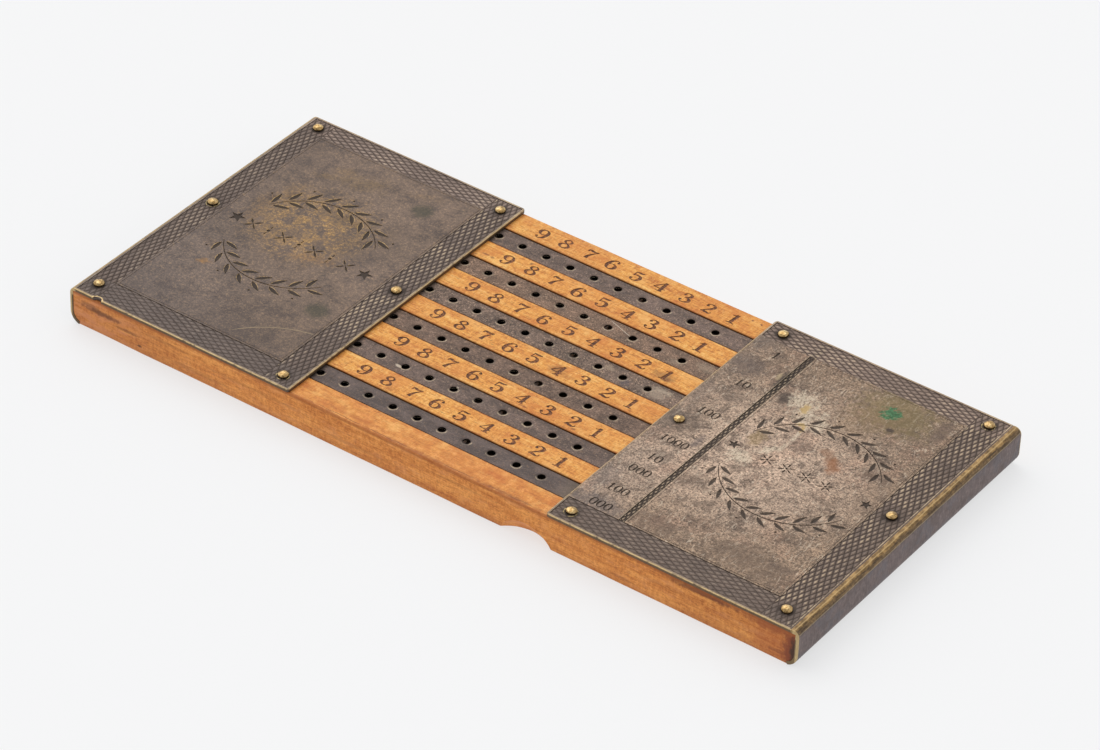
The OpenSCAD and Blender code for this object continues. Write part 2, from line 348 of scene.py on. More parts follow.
class Mat:
    """Small helper that builds a node material in millimetre object coordinates."""

    def __init__(self, name):
        self.m = bpy.data.materials.new(name)
        self.m.use_nodes = True
        self.nt = self.m.node_tree
        self.nt.nodes.clear()
        self.out = self.nt.nodes.new("ShaderNodeOutputMaterial")
        self.b = self.nt.nodes.new("ShaderNodeBsdfPrincipled")
        self.nt.links.new(self.b.outputs[0], self.out.inputs[0])
        tc = self.nt.nodes.new("ShaderNodeTexCoord")
        sc = self.nt.nodes.new("ShaderNodeVectorMath")
        sc.operation = "SCALE"
        sc.inputs["Scale"].default_value = 1000
        self.nt.links.new(tc.outputs["Object"], sc.inputs[0])
        self.p = sc.outputs[0]
        sep = self.nt.nodes.new("ShaderNodeSeparateXYZ")
        self.nt.links.new(self.p, sep.inputs[0])
        self.x, self.y, self.z = sep.outputs

    def put(self, sock, v):
        if isinstance(v, (int, float)) and sock.type == "RGBA":
            v = (v, v, v)
        if isinstance(v, bpy.types.NodeSocket):
            self.nt.links.new(v, sock)
        elif isinstance(v, (tuple, list)) and len(v) == 3 and sock.type == "RGBA":
            sock.default_value = (*v, 1)
        else:
            sock.default_value = v

    def set(self, **kw):
        for k, v in kw.items():
            self.put(self.b.inputs[k.replace("_", " ")], v)

    def math(self, op, a, b=0.0, c=0.0, clamp=False):
        n = self.nt.nodes.new("ShaderNodeMath")
        n.operation = op
        n.use_clamp = clamp
        for s, v in zip(n.inputs, (a, b, c)):
            self.put(s, v)
        return n.outputs[0]

    def add(self, a, b): return self.math("ADD", a, b)
    def sub(self, a, b): return self.math("SUBTRACT", a, b)
    def mul(self, a, b): return self.math("MULTIPLY", a, b)
    def mx(self, a, b): return self.math("MAXIMUM", a, b)
    def mn(self, a, b): return self.math("MINIMUM", a, b)

    def smooth(self, v, lo, hi, a=0.0, b=1.0):
        n = self.nt.nodes.new("ShaderNodeMapRange")
        n.interpolation_type = "SMOOTHSTEP"
        for s, q in zip(n.inputs, (v, lo, hi, a, b)):
            self.put(s, q)
        return n.outputs[0]

    def scaled(self, sx, sy, sz, off=(0, 0, 0)):
        n = self.nt.nodes.new("ShaderNodeVectorMath")
        n.operation = "MULTIPLY_ADD"
        self.put(n.inputs[0], self.p)
        n.inputs[1].default_value = (sx, sy, sz)
        n.inputs[2].default_value = off
        return n.outputs[0]

    def noise(self, scale, detail=3.0, rough=0.55, vec=None, dist=0.0, color=False):
        n = self.nt.nodes.new("ShaderNodeTexNoise")
        self.put(n.inputs["Vector"], vec or self.p)
        n.inputs["Scale"].default_value = scale
        n.inputs["Detail"].default_value = detail
        n.inputs["Roughness"].default_value = rough
        n.inputs["Distortion"].default_value = dist
        return n.outputs["Color" if color else 0]

    def mix(self, f, a, b, mode="MIX"):
        n = self.nt.nodes.new("ShaderNodeMix")
        n.data_type = "RGBA"
        n.blend_type = mode
        self.put(n.inputs[0], f)
        self.put(n.inputs[6], a)
        self.put(n.inputs[7], b)
        return n.outputs[2]

    def gain(self, col, f):
        n = self.nt.nodes.new("ShaderNodeVectorMath")
        n.operation = "SCALE"
        self.put(n.inputs[0], col)
        self.put(n.inputs["Scale"], f)
        return n.outputs[0]

    def tint(self, col, rgb):
        n = self.nt.nodes.new("ShaderNodeVectorMath")
        n.operation = "MULTIPLY"
        self.put(n.inputs[0], col)
        n.inputs[1].default_value = rgb
        return n.outputs[0]

    def ramp(self, f, stops):
        n = self.nt.nodes.new("ShaderNodeValToRGB")
        e = n.color_ramp.elements
        while len(e) < len(stops):
            e.new(0.5)
        for el, (p, c) in zip(e, stops):
            el.position = p
            el.color = (*c, 1)
        self.put(n.inputs[0], f)
        return n.outputs[0]

    def spot(self, cx, cy, rx, ry, rot=0.0, soft=0.35, rag=0.35, scale=0.35, u=None, v=None, seed=0.0):
        """A ragged stain: 1 inside, 0 outside."""
        dx = self.sub(u or self.x, cx)
        dy = self.sub(v or self.y, cy)
        c, s = math.cos(math.radians(rot)), math.sin(math.radians(rot))
        a = self.mul(self.add(self.mul(dx, c), self.mul(dy, s)), 1 / rx)
        b = self.mul(self.sub(self.mul(dy, c), self.mul(dx, s)), 1 / ry)
        d = self.math("SQRT", self.add(self.mul(a, a), self.mul(b, b)))
        nz = self.noise(scale, 4, 0.6, self.scaled(1, 1, 1, (seed, seed * 1.7, 3)))
        d = self.add(d, self.mul(self.sub(nz, 0.5), rag * 4))
        return self.smooth(d, 1 + soft, 1 - soft)

    def bump(self, h, strength=0.3, dist=0.0001, prev=None):
        n = self.nt.nodes.new("ShaderNodeBump")
        n.inputs["Strength"].default_value = strength
        n.inputs["Distance"].default_value = dist
        self.put(n.inputs["Height"], h)
        if prev:
            self.nt.links.new(prev, n.inputs["Normal"])
        return n.outputs[0]

    def rect_d(self, x0, x1, y0, y1):
        """Distance inward from the nearest side of a rectangle."""
        return self.mn(self.mn(self.sub(self.x, x0), self.sub(x1, self.x)), self.mn(self.sub(self.y, y0), self.sub(y1, self.y)))

    def pins(self, pts):
        d = None
        for px, py in pts:
            dx, dy = self.sub(self.x, px), self.sub(self.y, py)
            q = self.math("SQRT", self.add(self.mul(dx, dx), self.mul(dy, dy)))
            d = q if d is None else self.mn(d, q)
        return d


def cover_material(name, left):
    """Patinated sheet brass: dirt and painted shade in the engraving, bright worn edges with painted highlights,
    painted shade under the sheet, stains.
    """
    M = Mat(name)
    big = M.noise(0.05, 4, 0.6)
    mid = M.noise(0.26, 5, 0.62, M.scaled(1, 1, 1, (9, 4, 0)))
    small = M.noise(1.15, 4, 0.65, M.scaled(1, 1, 1, (3, 8, 0)))
    sand = M.noise(2.7, 3, 0.75, M.scaled(1, 1, 1, (7, 7, 0)))
    fine = M.noise(9.0, 2, 0.6)
    brush = M.noise(1.6, 4, 0.65, M.scaled(1.6, 0.35, 1, (4, 9, 0)), 0.6)

    def L(px, py):
        return -106 + (px - 28) / 13.82, 47.6 - (py - 28) / 13.963

    def Rr(px, py):
        return 36.35 + (px - 28) / 14.07, 47.6 - (py - 28) / 13.963

    def rad(cx, cy, k=1.0):
        dx, dy = M.sub(M.x, cx), M.mul(M.sub(M.y, cy), k)
        return M.math("SQRT", M.add(M.mul(dx, dx), M.mul(dy, dy)))

    def vary(col, n, k):
        return M.gain(col, M.math("MAXIMUM", M.add(1.0, M.mul(M.sub(n, 0.5), k)), 0.25))

    if left:
        col = M.mix(M.smooth(M.add(M.mul(M.x, 1.0), M.mul(M.y, 0.7)), -68, -118), lin((131, 114, 102)), lin((118, 106, 100)))
        gold = M.mul(M.smooth(M.add(rad(-75.5, 8.5, 1.05), M.mul(M.sub(mid, 0.5), 26)), 21, 9), M.smooth(M.add(M.mul(mid, 0.5), M.mul(small, 0.5)), 0.42, 0.60))
        col = M.mix(M.mul(gold, 0.8), col, lin((164, 132, 84)))
        col = M.mix(M.mul(M.smooth(mid, 0.52, 0.38), 0.4), col, lin((100, 88, 86)))
        flecks = M.mul(M.smooth(M.add(M.mul(sand, 0.55), M.mul(small, 0.45)), 0.50, 0.62), M.add(0.22, M.mul(gold, 0.55)))
        col = M.mix(flecks, col, lin((190, 156, 100)))
        col = vary(col, big, 0.9)
        col = vary(col, mid, 1.0)
        col = vary(col, small, 1.3)
        col = vary(col, sand, 1.7)
    else:
        col = M.mix(M.smooth(M.add(rad(63, -2, 1.0), M.mul(M.sub(big, 0.5), 22)), 10, 38), lin((180, 159, 142)), lin((143, 123, 105)))
        col = M.mix(M.mul(M.smooth(M.add(M.x, M.mul(M.y, -0.25)), 46, 36), 0.16), col, lin((128, 110, 100)))
        col = M.mix(M.mul(M.spot(43.5, -25, 8, 15, 0, 0.6, 0.3, 0.3, seed=3), 0.45), col, lin((176, 157, 143)))
        col = M.mix(M.mul(M.smooth(mid, 0.49, 0.36), 0.6), col, lin((112, 94, 82)))
        col = M.mix(M.mul(M.smooth(M.noise(0.5, 4, 0.6, M.scaled(1, 1, 1, (20, 3, 0))), 0.56, 0.70), 0.45), col, lin((104, 88, 74)))
        col = M.mix(M.mul(M.smooth(M.noise(0.12, 3, 0.5, M.scaled(1, 1, 1, (30, 4, 0))), 0.5, 0.72), 0.35), col, lin((158, 126, 108)))
        col = vary(col, big, 0.7)
        col = vary(col, mid, 1.3)
        col = vary(col, small, 2.1)
        col = vary(col, sand, 3.0)
        pit = M.mul(M.smooth(M.noise(1.7, 3, 0.6, M.scaled(1, 1, 1, (31, 2, 0))), 0.545, 0.60), 0.66)
        col = M.mix(pit, col, lin((78, 64, 55)))
        blot = M.mul(M.smooth(M.noise(0.85, 4, 0.7, M.scaled(1, 1, 1, (51, 12, 0))), 0.56, 0.60), 0.55)
        col = M.mix(blot, col, lin((88, 73, 63)))
        rub = M.mul(M.smooth(M.noise(0.8, 4, 0.7, M.scaled(1.6, 0.5, 1, (41, 2, 0)), 1.2), 0.56, 0.64), 0.5)
        col = M.mix(rub, col, lin((216, 202, 184)))
        dust = M.mul(M.smooth(M.add(M.mul(sand, 0.6), M.mul(brush, 0.4)), 0.55, 0.66), 0.42)
        col = M.mix(dust, col, lin((214, 198, 178)))
    rough = M.add(0.44, M.mul(mid, 0.14))

    if left:
        for px, py, rx, ry, amt, c in [
            (435, 255, 6.0, 3.0, 0.35, (156, 130, 86)), (290, 470, 3.2, 4.6, 0.4, (164, 132, 86)), (470, 470, 4.2, 3.0, 0.42, (166, 136, 92)),
            (545, 470, 4.2, 2.0, 0.3, (158, 128, 84)), (238, 590, 2.2, 5.0, 0.32, (156, 124, 80)), (420, 655, 8.4, 3.0, 0.34, (160, 130, 88)),
            (560, 725, 5.4, 1.6, 0.45, (168, 130, 84)), (288, 962, 1.5, 0.9, 0.75, (178, 134, 76)), (640, 190, 3.6, 1.2, 0.25, (150, 124, 86)),
            (340, 240, 2.6, 1.6, 0.3, (156, 128, 84)), (700, 480, 2.0, 3.2, 0.25, (150, 124, 90)), (300, 300, 3.0, 1.0, 0.35, (160, 132, 88))]:
            x, y = L(px, py)
            q = M.mul(M.spot(x, y, rx, ry, 20, 0.6, 0.75, 0.55, seed=px), M.smooth(M.add(M.mul(small, 0.6), M.mul(sand, 0.4)), 0.36, 0.56))
            col = M.mix(M.mul(q, amt), col, lin(c))
        for px, py, r in [(690, 262, 2.7), (762, 950, 2.8)]:
            x, y = L(px, py)
            col = M.mix(M.mul(M.spot(x, y, r, r, 0, 0.5, 0.3, 0.8, seed=py), 0.62), col, lin((62, 68, 52)))
        for px, py, rx, ry in [(200, 1180, 9, 7), (560, 1200, 12, 5), (160, 240, 5, 10), (700, 620, 5, 9), (540, 80, 16, 3)]:
            x, y = L(px, py)
            col = M.mix(M.mul(M.spot(x, y, rx, ry, 0, 0.6, 0.4, 0.15, seed=px), 0.22), col, lin((90, 80, 78)))
        for cx, cy, r, w, ax0, ax1, sg in [(-42.6, -52.6, 26.5, 0.17, -64.9, -47.0, 1.0), (-74.4, 10.6, 21.0, 0.09, -64.2, -56.0, 0.45)]:
            q = M.math("ABSOLUTE", M.sub(rad(cx, cy), r))
            inside = M.mul(M.smooth(M.x, ax0, ax0 + 2.5), M.smooth(M.x, ax1, ax1 - 1.5))
            inside = M.mul(inside, M.smooth(M.y, (cy + 4) if sg == 1.0 else -12.0, (cy + 8) if sg == 1.0 else -8.0))
            if sg != 1.0:
                inside = M.mul(inside, M.smooth(M.y, 0, -2))
            col = M.mix(M.mul(M.mul(M.smooth(q, w, w * 0.3), inside), 0.8 * sg), col, lin((184, 166, 132)))
    else:
        for px, py, rx, ry, rot, amt, c in [
            (640, 215, 9.0, 7.6, 0, 0.6, (122, 108, 70)), (560, 330, 5, 6, 0, 0.3, (140, 116, 86)), (345, 610, 1.8, 3.2, 0, 0.5, (138, 116, 70)),
            (90, 690, 5.4, 5.0, 0, 0.6, (88, 76, 68)), (95, 300, 5.0, 3.6, -10, 0.6, (92, 80, 76)), (640, 1130, 6.5, 3.0, 10, 0.5, (100, 84, 72)),
            (780, 1130, 3.6, 1.3, 8, 0.55, (92, 78, 70)), (400, 1005, 2.6, 1.0, 40, 0.6, (92, 78, 68)), (300, 375, 1.8, 2.4, 0, 0.75, (66, 56, 50)),
            (665, 306, 0.9, 0.9, 0, 0.85, (60, 50, 44)), (808, 215, 2.0, 4.5, 5, 0.5, (102, 86, 78)), (600, 560, 4.2, 1.4, -35, 0.5, (138, 96, 66)),
            (622, 585, 1.3, 2.8, 20, 0.55, (146, 96, 58)), (745, 545, 2.0, 3.0, 0, 0.35, (124, 104, 92)), (238, 300, 1.6, 3.8, 0, 0.85, (56, 48, 44)),
            (214, 288, 0.6, 1.3, 0, 0.6, (176, 160, 128)), (380, 780, 1.4, 2.4, -20, 0.5, (92, 78, 68)), (200, 745, 0.9, 2.4, 0, 0.5, (78, 72, 78)),
            (300, 930, 4.5, 2.6, 0, 0.4, (108, 92, 80)), (700, 1180, 9, 3, 0, 0.4, (116, 98, 84)), (330, 1190, 7, 3, 0, 0.45, (108, 90, 78)),
            (130, 1215, 7, 3, 0, 0.55, (100, 92, 92)), (480, 560, 3.4, 2.4, -30, 0.4, (104, 88, 78)), (820, 620, 2.5, 8, 0, 0.3, (136, 116, 100)),
            (60, 120, 5, 5, 0, 0.5, (104, 92, 86)), (520, 1000, 2.0, 1.4, 0, 0.45, (98, 82, 70)), (720, 760, 2.2, 1.2, 30, 0.45, (104, 88, 76)),
            (560, 860, 1.2, 1.8, 0, 0.4, (100, 86, 74)), (160, 480, 2.6, 2.0, 0, 0.4, (110, 96, 86)), (60, 520, 2.0, 5.0, 0, 0.35, (112, 98, 90)),
            (150, 880, 3.0, 2.2, 0, 0.45, (104, 90, 80)), (70, 1080, 2.4, 5.0, 0, 0.4, (108, 98, 96)), (450, 1080, 3.2, 1.5, 15, 0.35, (112, 94, 80))]:
            x, y = Rr(px, py)
            col = M.mix(M.mul(M.spot(x, y, rx, ry, rot, 0.55, 0.6, 0.6, seed=px), amt), col, lin(c))
        x, y = Rr(621, 228)
        vg = M.spot(x, y, 2.1, 2.3, 0, 0.35, 0.9, 0.75, seed=12)
        col = M.mix(M.mul(vg, 0.85), col, M.ramp(M.noise(1.6, 4, 0.75), [(0.36, lin((58, 92, 66))), (0.52, lin((70, 136, 98))), (0.66, lin((128, 172, 136)))]))
        scuff = None
        for px, py, rx, ry, rot in [(350, 355, 2.4, 3.6, 15), (398, 395, 2.4, 4.6, 10), (440, 520, 0.6, 6.5, 0), (355, 722, 3.0, 2.2, 30), (410, 640, 2.6, 1.3, 40), (425, 450, 2.2, 1.3, 0), (470, 420, 1.2, 4.0, 20)]:
            x, y = Rr(px, py)
            q = M.spot(x, y, rx, ry, rot, 0.5, 0.95, 0.55, seed=px)
            scuff = q if scuff is None else M.mx(scuff, q)
        scratchy = M.smooth(M.add(M.mul(M.noise(1.5, 4, 0.75, M.scaled(2.0, 0.5, 1)), 0.6), M.mul(sand, 0.4)), 0.40, 0.56)
        scuff = M.mul(scuff, scratchy)
        col = M.mix(M.mul(scuff, 0.7), col, lin((216, 204, 184)))
        for px, py, rx, ry in [(383, 385, 0.9, 1.9), (420, 462, 1.1, 0.7), (436, 480, 0.5, 1.1)]:
            x, y = Rr(px, py)
            col = M.mix(M.mul(M.spot(x, y, rx, ry, 10, 0.5, 0.6, 1.2, seed=py), 0.7), col, lin((186, 158, 96)))
        rough = M.mix(M.mul(vg, 0.8), rough, 0.85)

    col = M.tint(col, (0.685, 0.645, 0.615) if left else (0.94, 0.895, 0.84))
    # the engraved bands
    x0, x1 = (-HL, LX1) if left else (RX0, HL)
    if left:
        bl, br, bn, bf = M.sub(M.x, -97.95), M.sub(-46.85, M.x), M.sub(M.y, -39.7), M.sub(40.85, M.y)
    else:
        bl, br, bn, bf = 50.0, M.sub(95.4, M.x), M.sub(M.y, -39.2), M.sub(40.3, M.y)
    band = M.smooth(M.mn(M.mn(bl, br), M.mn(bn, bf)), 0.15, -0.15)
    near_b = M.mul(M.smooth(bn, 0.3, -0.6), band)
    bcol = lin((110, 96, 88)) if left else lin((116, 100, 90))
    bcol = vary(M.mix(M.mul(near_b, 0.7), bcol, lin((95, 86, 82)) if left else lin((103, 91, 84))), mid, 1.1)
    far_b = M.mul(M.smooth(bf, 0.3, -0.6), band)
    bcol = M.gain(bcol, M.add(1.17 if left else 1.13, M.mul(far_b, 0.80 if left else 0.74)))
    bcol = vary(bcol, small, 1.3)
    bcol = vary(bcol, sand, 1.2)
    col = M.mix(M.mul(band, 0.85), col, bcol)
    if not left:
        strip = M.mul(M.smooth(M.math("ABSOLUTE", M.sub(M.x, 51.7)), 1.1, 0.7), M.smooth(bn, -0.2, 0.2))
        col = M.mix(M.mul(strip, 0.3), col, lin((106, 93, 84)))
        col = M.mix(M.mul(M.mul(strip, M.smooth(M.z, TOP - 0.08, TOP - 0.03)), 0.45), col, lin((188, 168, 138)))
    # painted highlight on the tops of the diamond cells, together with their wear
    relief = M.mul(M.smooth(M.z, TOP - 0.055, TOP - 0.015), M.smooth(M.add(M.mul(mid, 0.6), M.mul(small, 0.4)), 0.40, 0.58))
    side_b = M.mul(M.smooth(br, 0.2, -0.3), band)
    cell_top_wear_and_highlight = M.mul(M.mul(band, relief), M.add(M.add(0.30, M.mul(far_b, 0.15)), M.mul(side_b, 0.42)))
    col = M.mix(cell_top_wear_and_highlight, col, lin((196, 174, 142)))
    # painted shade down the sides of the cells and in the valleys between them, together with dirt
    wide = M.mul(M.mul(M.smooth(M.z, TOP - 0.025, TOP - 0.075), band), M.sub(0.70, M.mul(near_b, 0.25)))
    col = M.mix(wide, col, M.gain(lin((93, 78, 69)), M.add(1.0, M.mul(far_b, 0.4))))
    band_floor_shade_and_dirt = M.mul(M.smooth(M.z, TOP - 0.09, TOP - 0.15), M.smooth(M.z, TOP - 0.35, TOP - 0.25))
    damt = M.sub(0.62, M.mul(near_b, 0.25))
    col = M.mix(M.mul(band_floor_shade_and_dirt, damt), col, lin((56, 47, 41)))
    # painted highlight: the walls of the punched ornament are coloured a little brass, strongly on the left cover and
    # faintly on the right
    d0 = M.rect_d(x0, x1, -HW, HW)
    offb = M.mul(M.sub(1.0, band), M.smooth(d0, 0.5, 0.9))
    ornament_wall_highlight = M.mul(M.mul(M.smooth(M.z, TOP - 0.006, TOP - 0.016), M.smooth(M.z, TOP - 0.062, TOP - 0.04)), offb)
    sunk = M.mul(M.smooth(M.z, TOP - 0.035, TOP - 0.065), offb)
    col = M.mix(M.mul(sunk, 0.72), col, lin((60, 50, 42)))
    col = M.mix(M.mul(M.mul(ornament_wall_highlight, M.smooth(small, 0.36, 0.52)), 1.0 if left else 0.25), col, lin((198, 164, 106)) if left else lin((128, 108, 84)))
    # dark halo round each pin, and a rubbed ring round some of them
    pd = M.pins(LP if left else RP)
    halo = M.smooth(M.add(pd, M.mul(M.sub(small, 0.5), 1.3)), 2.7, 1.45)
    col = M.mix(M.mul(halo, 0.62), col, lin((54, 45, 40)))
    ringp = [(40.55, -43.6), (99.1, 43.65)] if not left else [(-43.3, -43.7), (-101.3, 1.4)]
    ring = M.mul(M.smooth(M.math("ABSOLUTE", M.sub(M.pins(ringp), 1.62)), 0.2, 0.08), M.smooth(small, 0.44, 0.56))
    col = M.mix(M.mul(ring, 0.8), col, lin((206, 184, 132)))
    # bare brass along the rubbed arrises with a painted highlight on them, and painted shade in brown on the cut edge
    # of the sheet
    d = M.rect_d(x0, x1, -HW, HW)
    wob = M.mul(M.sub(mid, 0.5), 0.35)
    wear = M.smooth(M.noise(0.5, 4, 0.6, M.scaled(1, 1, 1, (2, 5, 1))), 0.30, 0.50)
    cut_edge_shade = M.mul(M.smooth(M.z, TOP - 0.16, TOP - 0.25), M.smooth(d, 0.22, 0.1))
    brass = M.mix(small, lin((192, 160, 104)), lin((242, 216, 166)))
    far_k = M.smooth(M.y, HW - 1.2, HW - 2.0, 0.45, 1.0)
    edge = M.mul(M.mul(M.smooth(M.add(d, wob), 0.30, 0.12), M.smooth(M.z, TOP - 0.24, TOP - 0.14)), far_k)
    col = M.mix(M.mul(cut_edge_shade, 0.8), col, M.mix(small, lin((84, 64, 42)), lin((128, 102, 70))))
    col = M.mix(M.mul(M.mul(edge, wear), 0.95), col, brass)
    # soft tarnished brass just inside the arris
    inner_rub = M.mul(M.smooth(M.add(d, M.mul(M.sub(small, 0.5), 1.4)), 0.85, 0.3), M.smooth(M.z, TOP - 0.12, TOP - 0.05))
    col = M.mix(M.mul(inner_rub, 0.3), col, lin((150, 124, 84)))
    ang = M.math("ARCTAN2", M.sub(M.z, TOP - BENDR), M.sub(M.math("ABSOLUTE", M.x), HL - BENDR))
    if left:
        bend = M.mul(M.smooth(M.add(ang, M.mul(M.sub(mid, 0.5), 0.5)), 1.42, 1.15), M.smooth(M.x, -104.0, -104.3))
        worn = M.noise(0.35, 4, 0.62, M.scaled(1, 1, 1, (16, 2, 8)))
        dull = M.ramp(M.add(M.mul(worn, 0.6), M.mul(small, 0.4)), [(0.38, lin((80, 64, 48))), (0.50, lin((124, 100, 68))), (0.62, lin((178, 148, 100)))])
        bright = M.smooth(M.add(ang, M.mul(M.sub(worn, 0.5), 1.2)), 0.75, 1.1)
        col = M.mix(M.mul(bend, 0.85), col, M.mix(bright, dull, M.mix(small, lin((150, 122, 78)), lin((226, 196, 140)))))
    # the end wall, coloured grey
    wcol = vary(vary(M.mix(mid, lin((108, 98, 98)), lin((134, 121, 119))), small, 1.1), M.noise(1.4, 3, 0.7, M.scaled(1, 1.8, 0.35, (3, 3, 3))), 1.4)
    nick = M.mul(M.smooth(M.noise(1.1, 4, 0.7, M.scaled(1, 1.6, 0.6, (13, 3, 3))), 0.60, 0.70), 0.5)
    wcol = M.mix(M.mul(M.smooth(M.noise(0.22, 3, 0.6, M.scaled(1, 1, 1, (23, 9, 3))), 0.48, 0.62), 0.35), wcol, lin((102, 108, 120)))
    wcol = M.mix(nick, wcol, lin((168, 158, 150)))
    wcol = M.mix(M.mul(M.smooth(M.noise(0.3, 4, 0.6, M.scaled(1, 1, 1, (3, 9, 3))), 0.5, 0.66), 0.4), wcol, lin((92, 78, 72)))
    wcol = M.tint(wcol, (0.81, 0.75, 0.725))
    wall = M.mul(M.smooth(M.math("ABSOLUTE", M.x), 104.9, 105.6), M.smooth(M.z, 9.62, 9.32))
    col = M.mix(wall, col, wcol)
    if not left:
        jag = M.add(M.mul(M.sub(M.noise(0.14, 4, 0.6, M.scaled(0, 1, 0, (1, 5, 1))), 0.5), 1.9), M.mul(M.sub(small, 0.5), 0.35))
        onb = M.mul(M.smooth(M.x, 103.72, 103.86), M.smooth(M.z, 9.12, 9.38))
        along = M.noise(0.5, 4, 0.6, M.scaled(1.5, 1, 1.5, (6, 2, 8)))
        gcol = M.ramp(M.add(M.mul(along, 0.7), M.mul(small, 0.3)), [(0.34, lin((98, 77, 50))), (0.46, lin((136, 108, 70))), (0.58, lin((180, 146, 96)))])
        thread = M.noise(1.2, 4, 0.65, M.scaled(1.5, 0.22, 2.2, (6, 2, 8)))
        bcol2 = M.ramp(M.add(M.mul(thread, 0.6), M.mul(small, 0.4)), [(0.38, lin((78, 62, 46))), (0.50, lin((108, 87, 62))), (0.62, lin((150, 122, 84)))])
        gcol = M.mix(M.mul(M.smooth(thread, 0.5, 0.38), 0.5), gcol, lin((92, 72, 50)))
        # gold on the crest of the bead: worn brass with a painted highlight
        bead_crest_wear_and_highlight = M.smooth(M.add(ang, M.mul(jag, 0.6)), 0.92, 1.2)
        # a narrow painted highlight line along the bead
        gcol = M.mix(M.mul(M.smooth(M.math("ABSOLUTE", M.sub(M.add(ang, M.mul(jag, 0.2)), 1.34)), 0.12, 0.03), 0.5), gcol, lin((212, 182, 130)))
        col = M.mix(onb, col, M.mix(bead_crest_wear_and_highlight, bcol2, gcol))
        pale = M.mul(M.smooth(M.math("ABSOLUTE", M.add(M.sub(M.z, 9.36), M.mul(jag, 0.16))), 0.16, 0.04), M.smooth(M.x, 105.2, 105.6))
        col = M.mix(M.mul(pale, 0.5), col, lin((168, 156, 134)))
    low = M.smooth(M.z, 2.2, 0.4)
    col = M.mix(M.mul(low, 0.35), col, lin((84, 74, 66)))
    vert = M.mul(M.smooth(M.sub(HW, M.math("ABSOLUTE", M.y)), 0.5, 0.2), M.mx(M.smooth(M.math("ABSOLUTE", M.x), 103.9, 104.6), M.smooth(M.z, 8.9, 8.4)))
    vin = M.smooth(M.math("ABSOLUTE", M.x), 105.55, 105.25)
    vcol = M.mix(M.mul(vin, M.smooth(M.z, 8.6, 8.0)), M.mix(small, lin((170, 142, 92)), lin((226, 200, 150))), M.mix(small, lin((74, 58, 42)), lin((120, 98, 68))) if left else M.mix(small, lin((96, 78, 54)), lin((150, 125, 86))))
    col = M.mix(M.mul(vert, 0.85), col, vcol)
    if left:
        # the nick's rim: worn brass with a painted highlight, as on the arrises
        nd = M.math("ABSOLUTE", M.sub(rad(-97.4, -HW - 0.40), 1.62))
        col = M.mix(M.mul(M.mul(M.smooth(nd, 0.22, 0.08), M.smooth(M.y, -44.5, -45.2)), M.smooth(M.z, TOP - 0.4, TOP - 0.2)), col, brass)
    # painted shade on the underside of the sheet and the foot of its cut edge
    inner = M.mul(M.smooth(M.z, BT + 0.25, BT + 0.05), M.smooth(M.z, 8.8, 9.2))
    flat = M.mul(inner, M.smooth(M.math("ABSOLUTE", M.x), 104.6, 104.2))
    col = M.mix(M.mul(flat, 0.7), col, lin((44, 34, 27)))
    rough = M.mix(M.mul(edge, wear), rough, 0.28)
    rough = M.mix(band_floor_shade_and_dirt, rough, 0.7)
    M.set(Base_Color=col, Roughness=rough, Metallic=0.6)
    scr = M.noise(1.2, 5, 0.75, M.scaled(5, 0.5, 1, (1, 2, 3)))
    h = M.add(M.mul(sand, 0.8 if not left else 0.5), M.add(M.mul(small, 0.5), M.mul(scr, 0.5)))
    nrm = M.bump(h, 0.5, 0.00008)
    nrm = M.bump(big, 0.35, 0.0006, nrm)
    M.set(Normal=nrm)
    return M.m


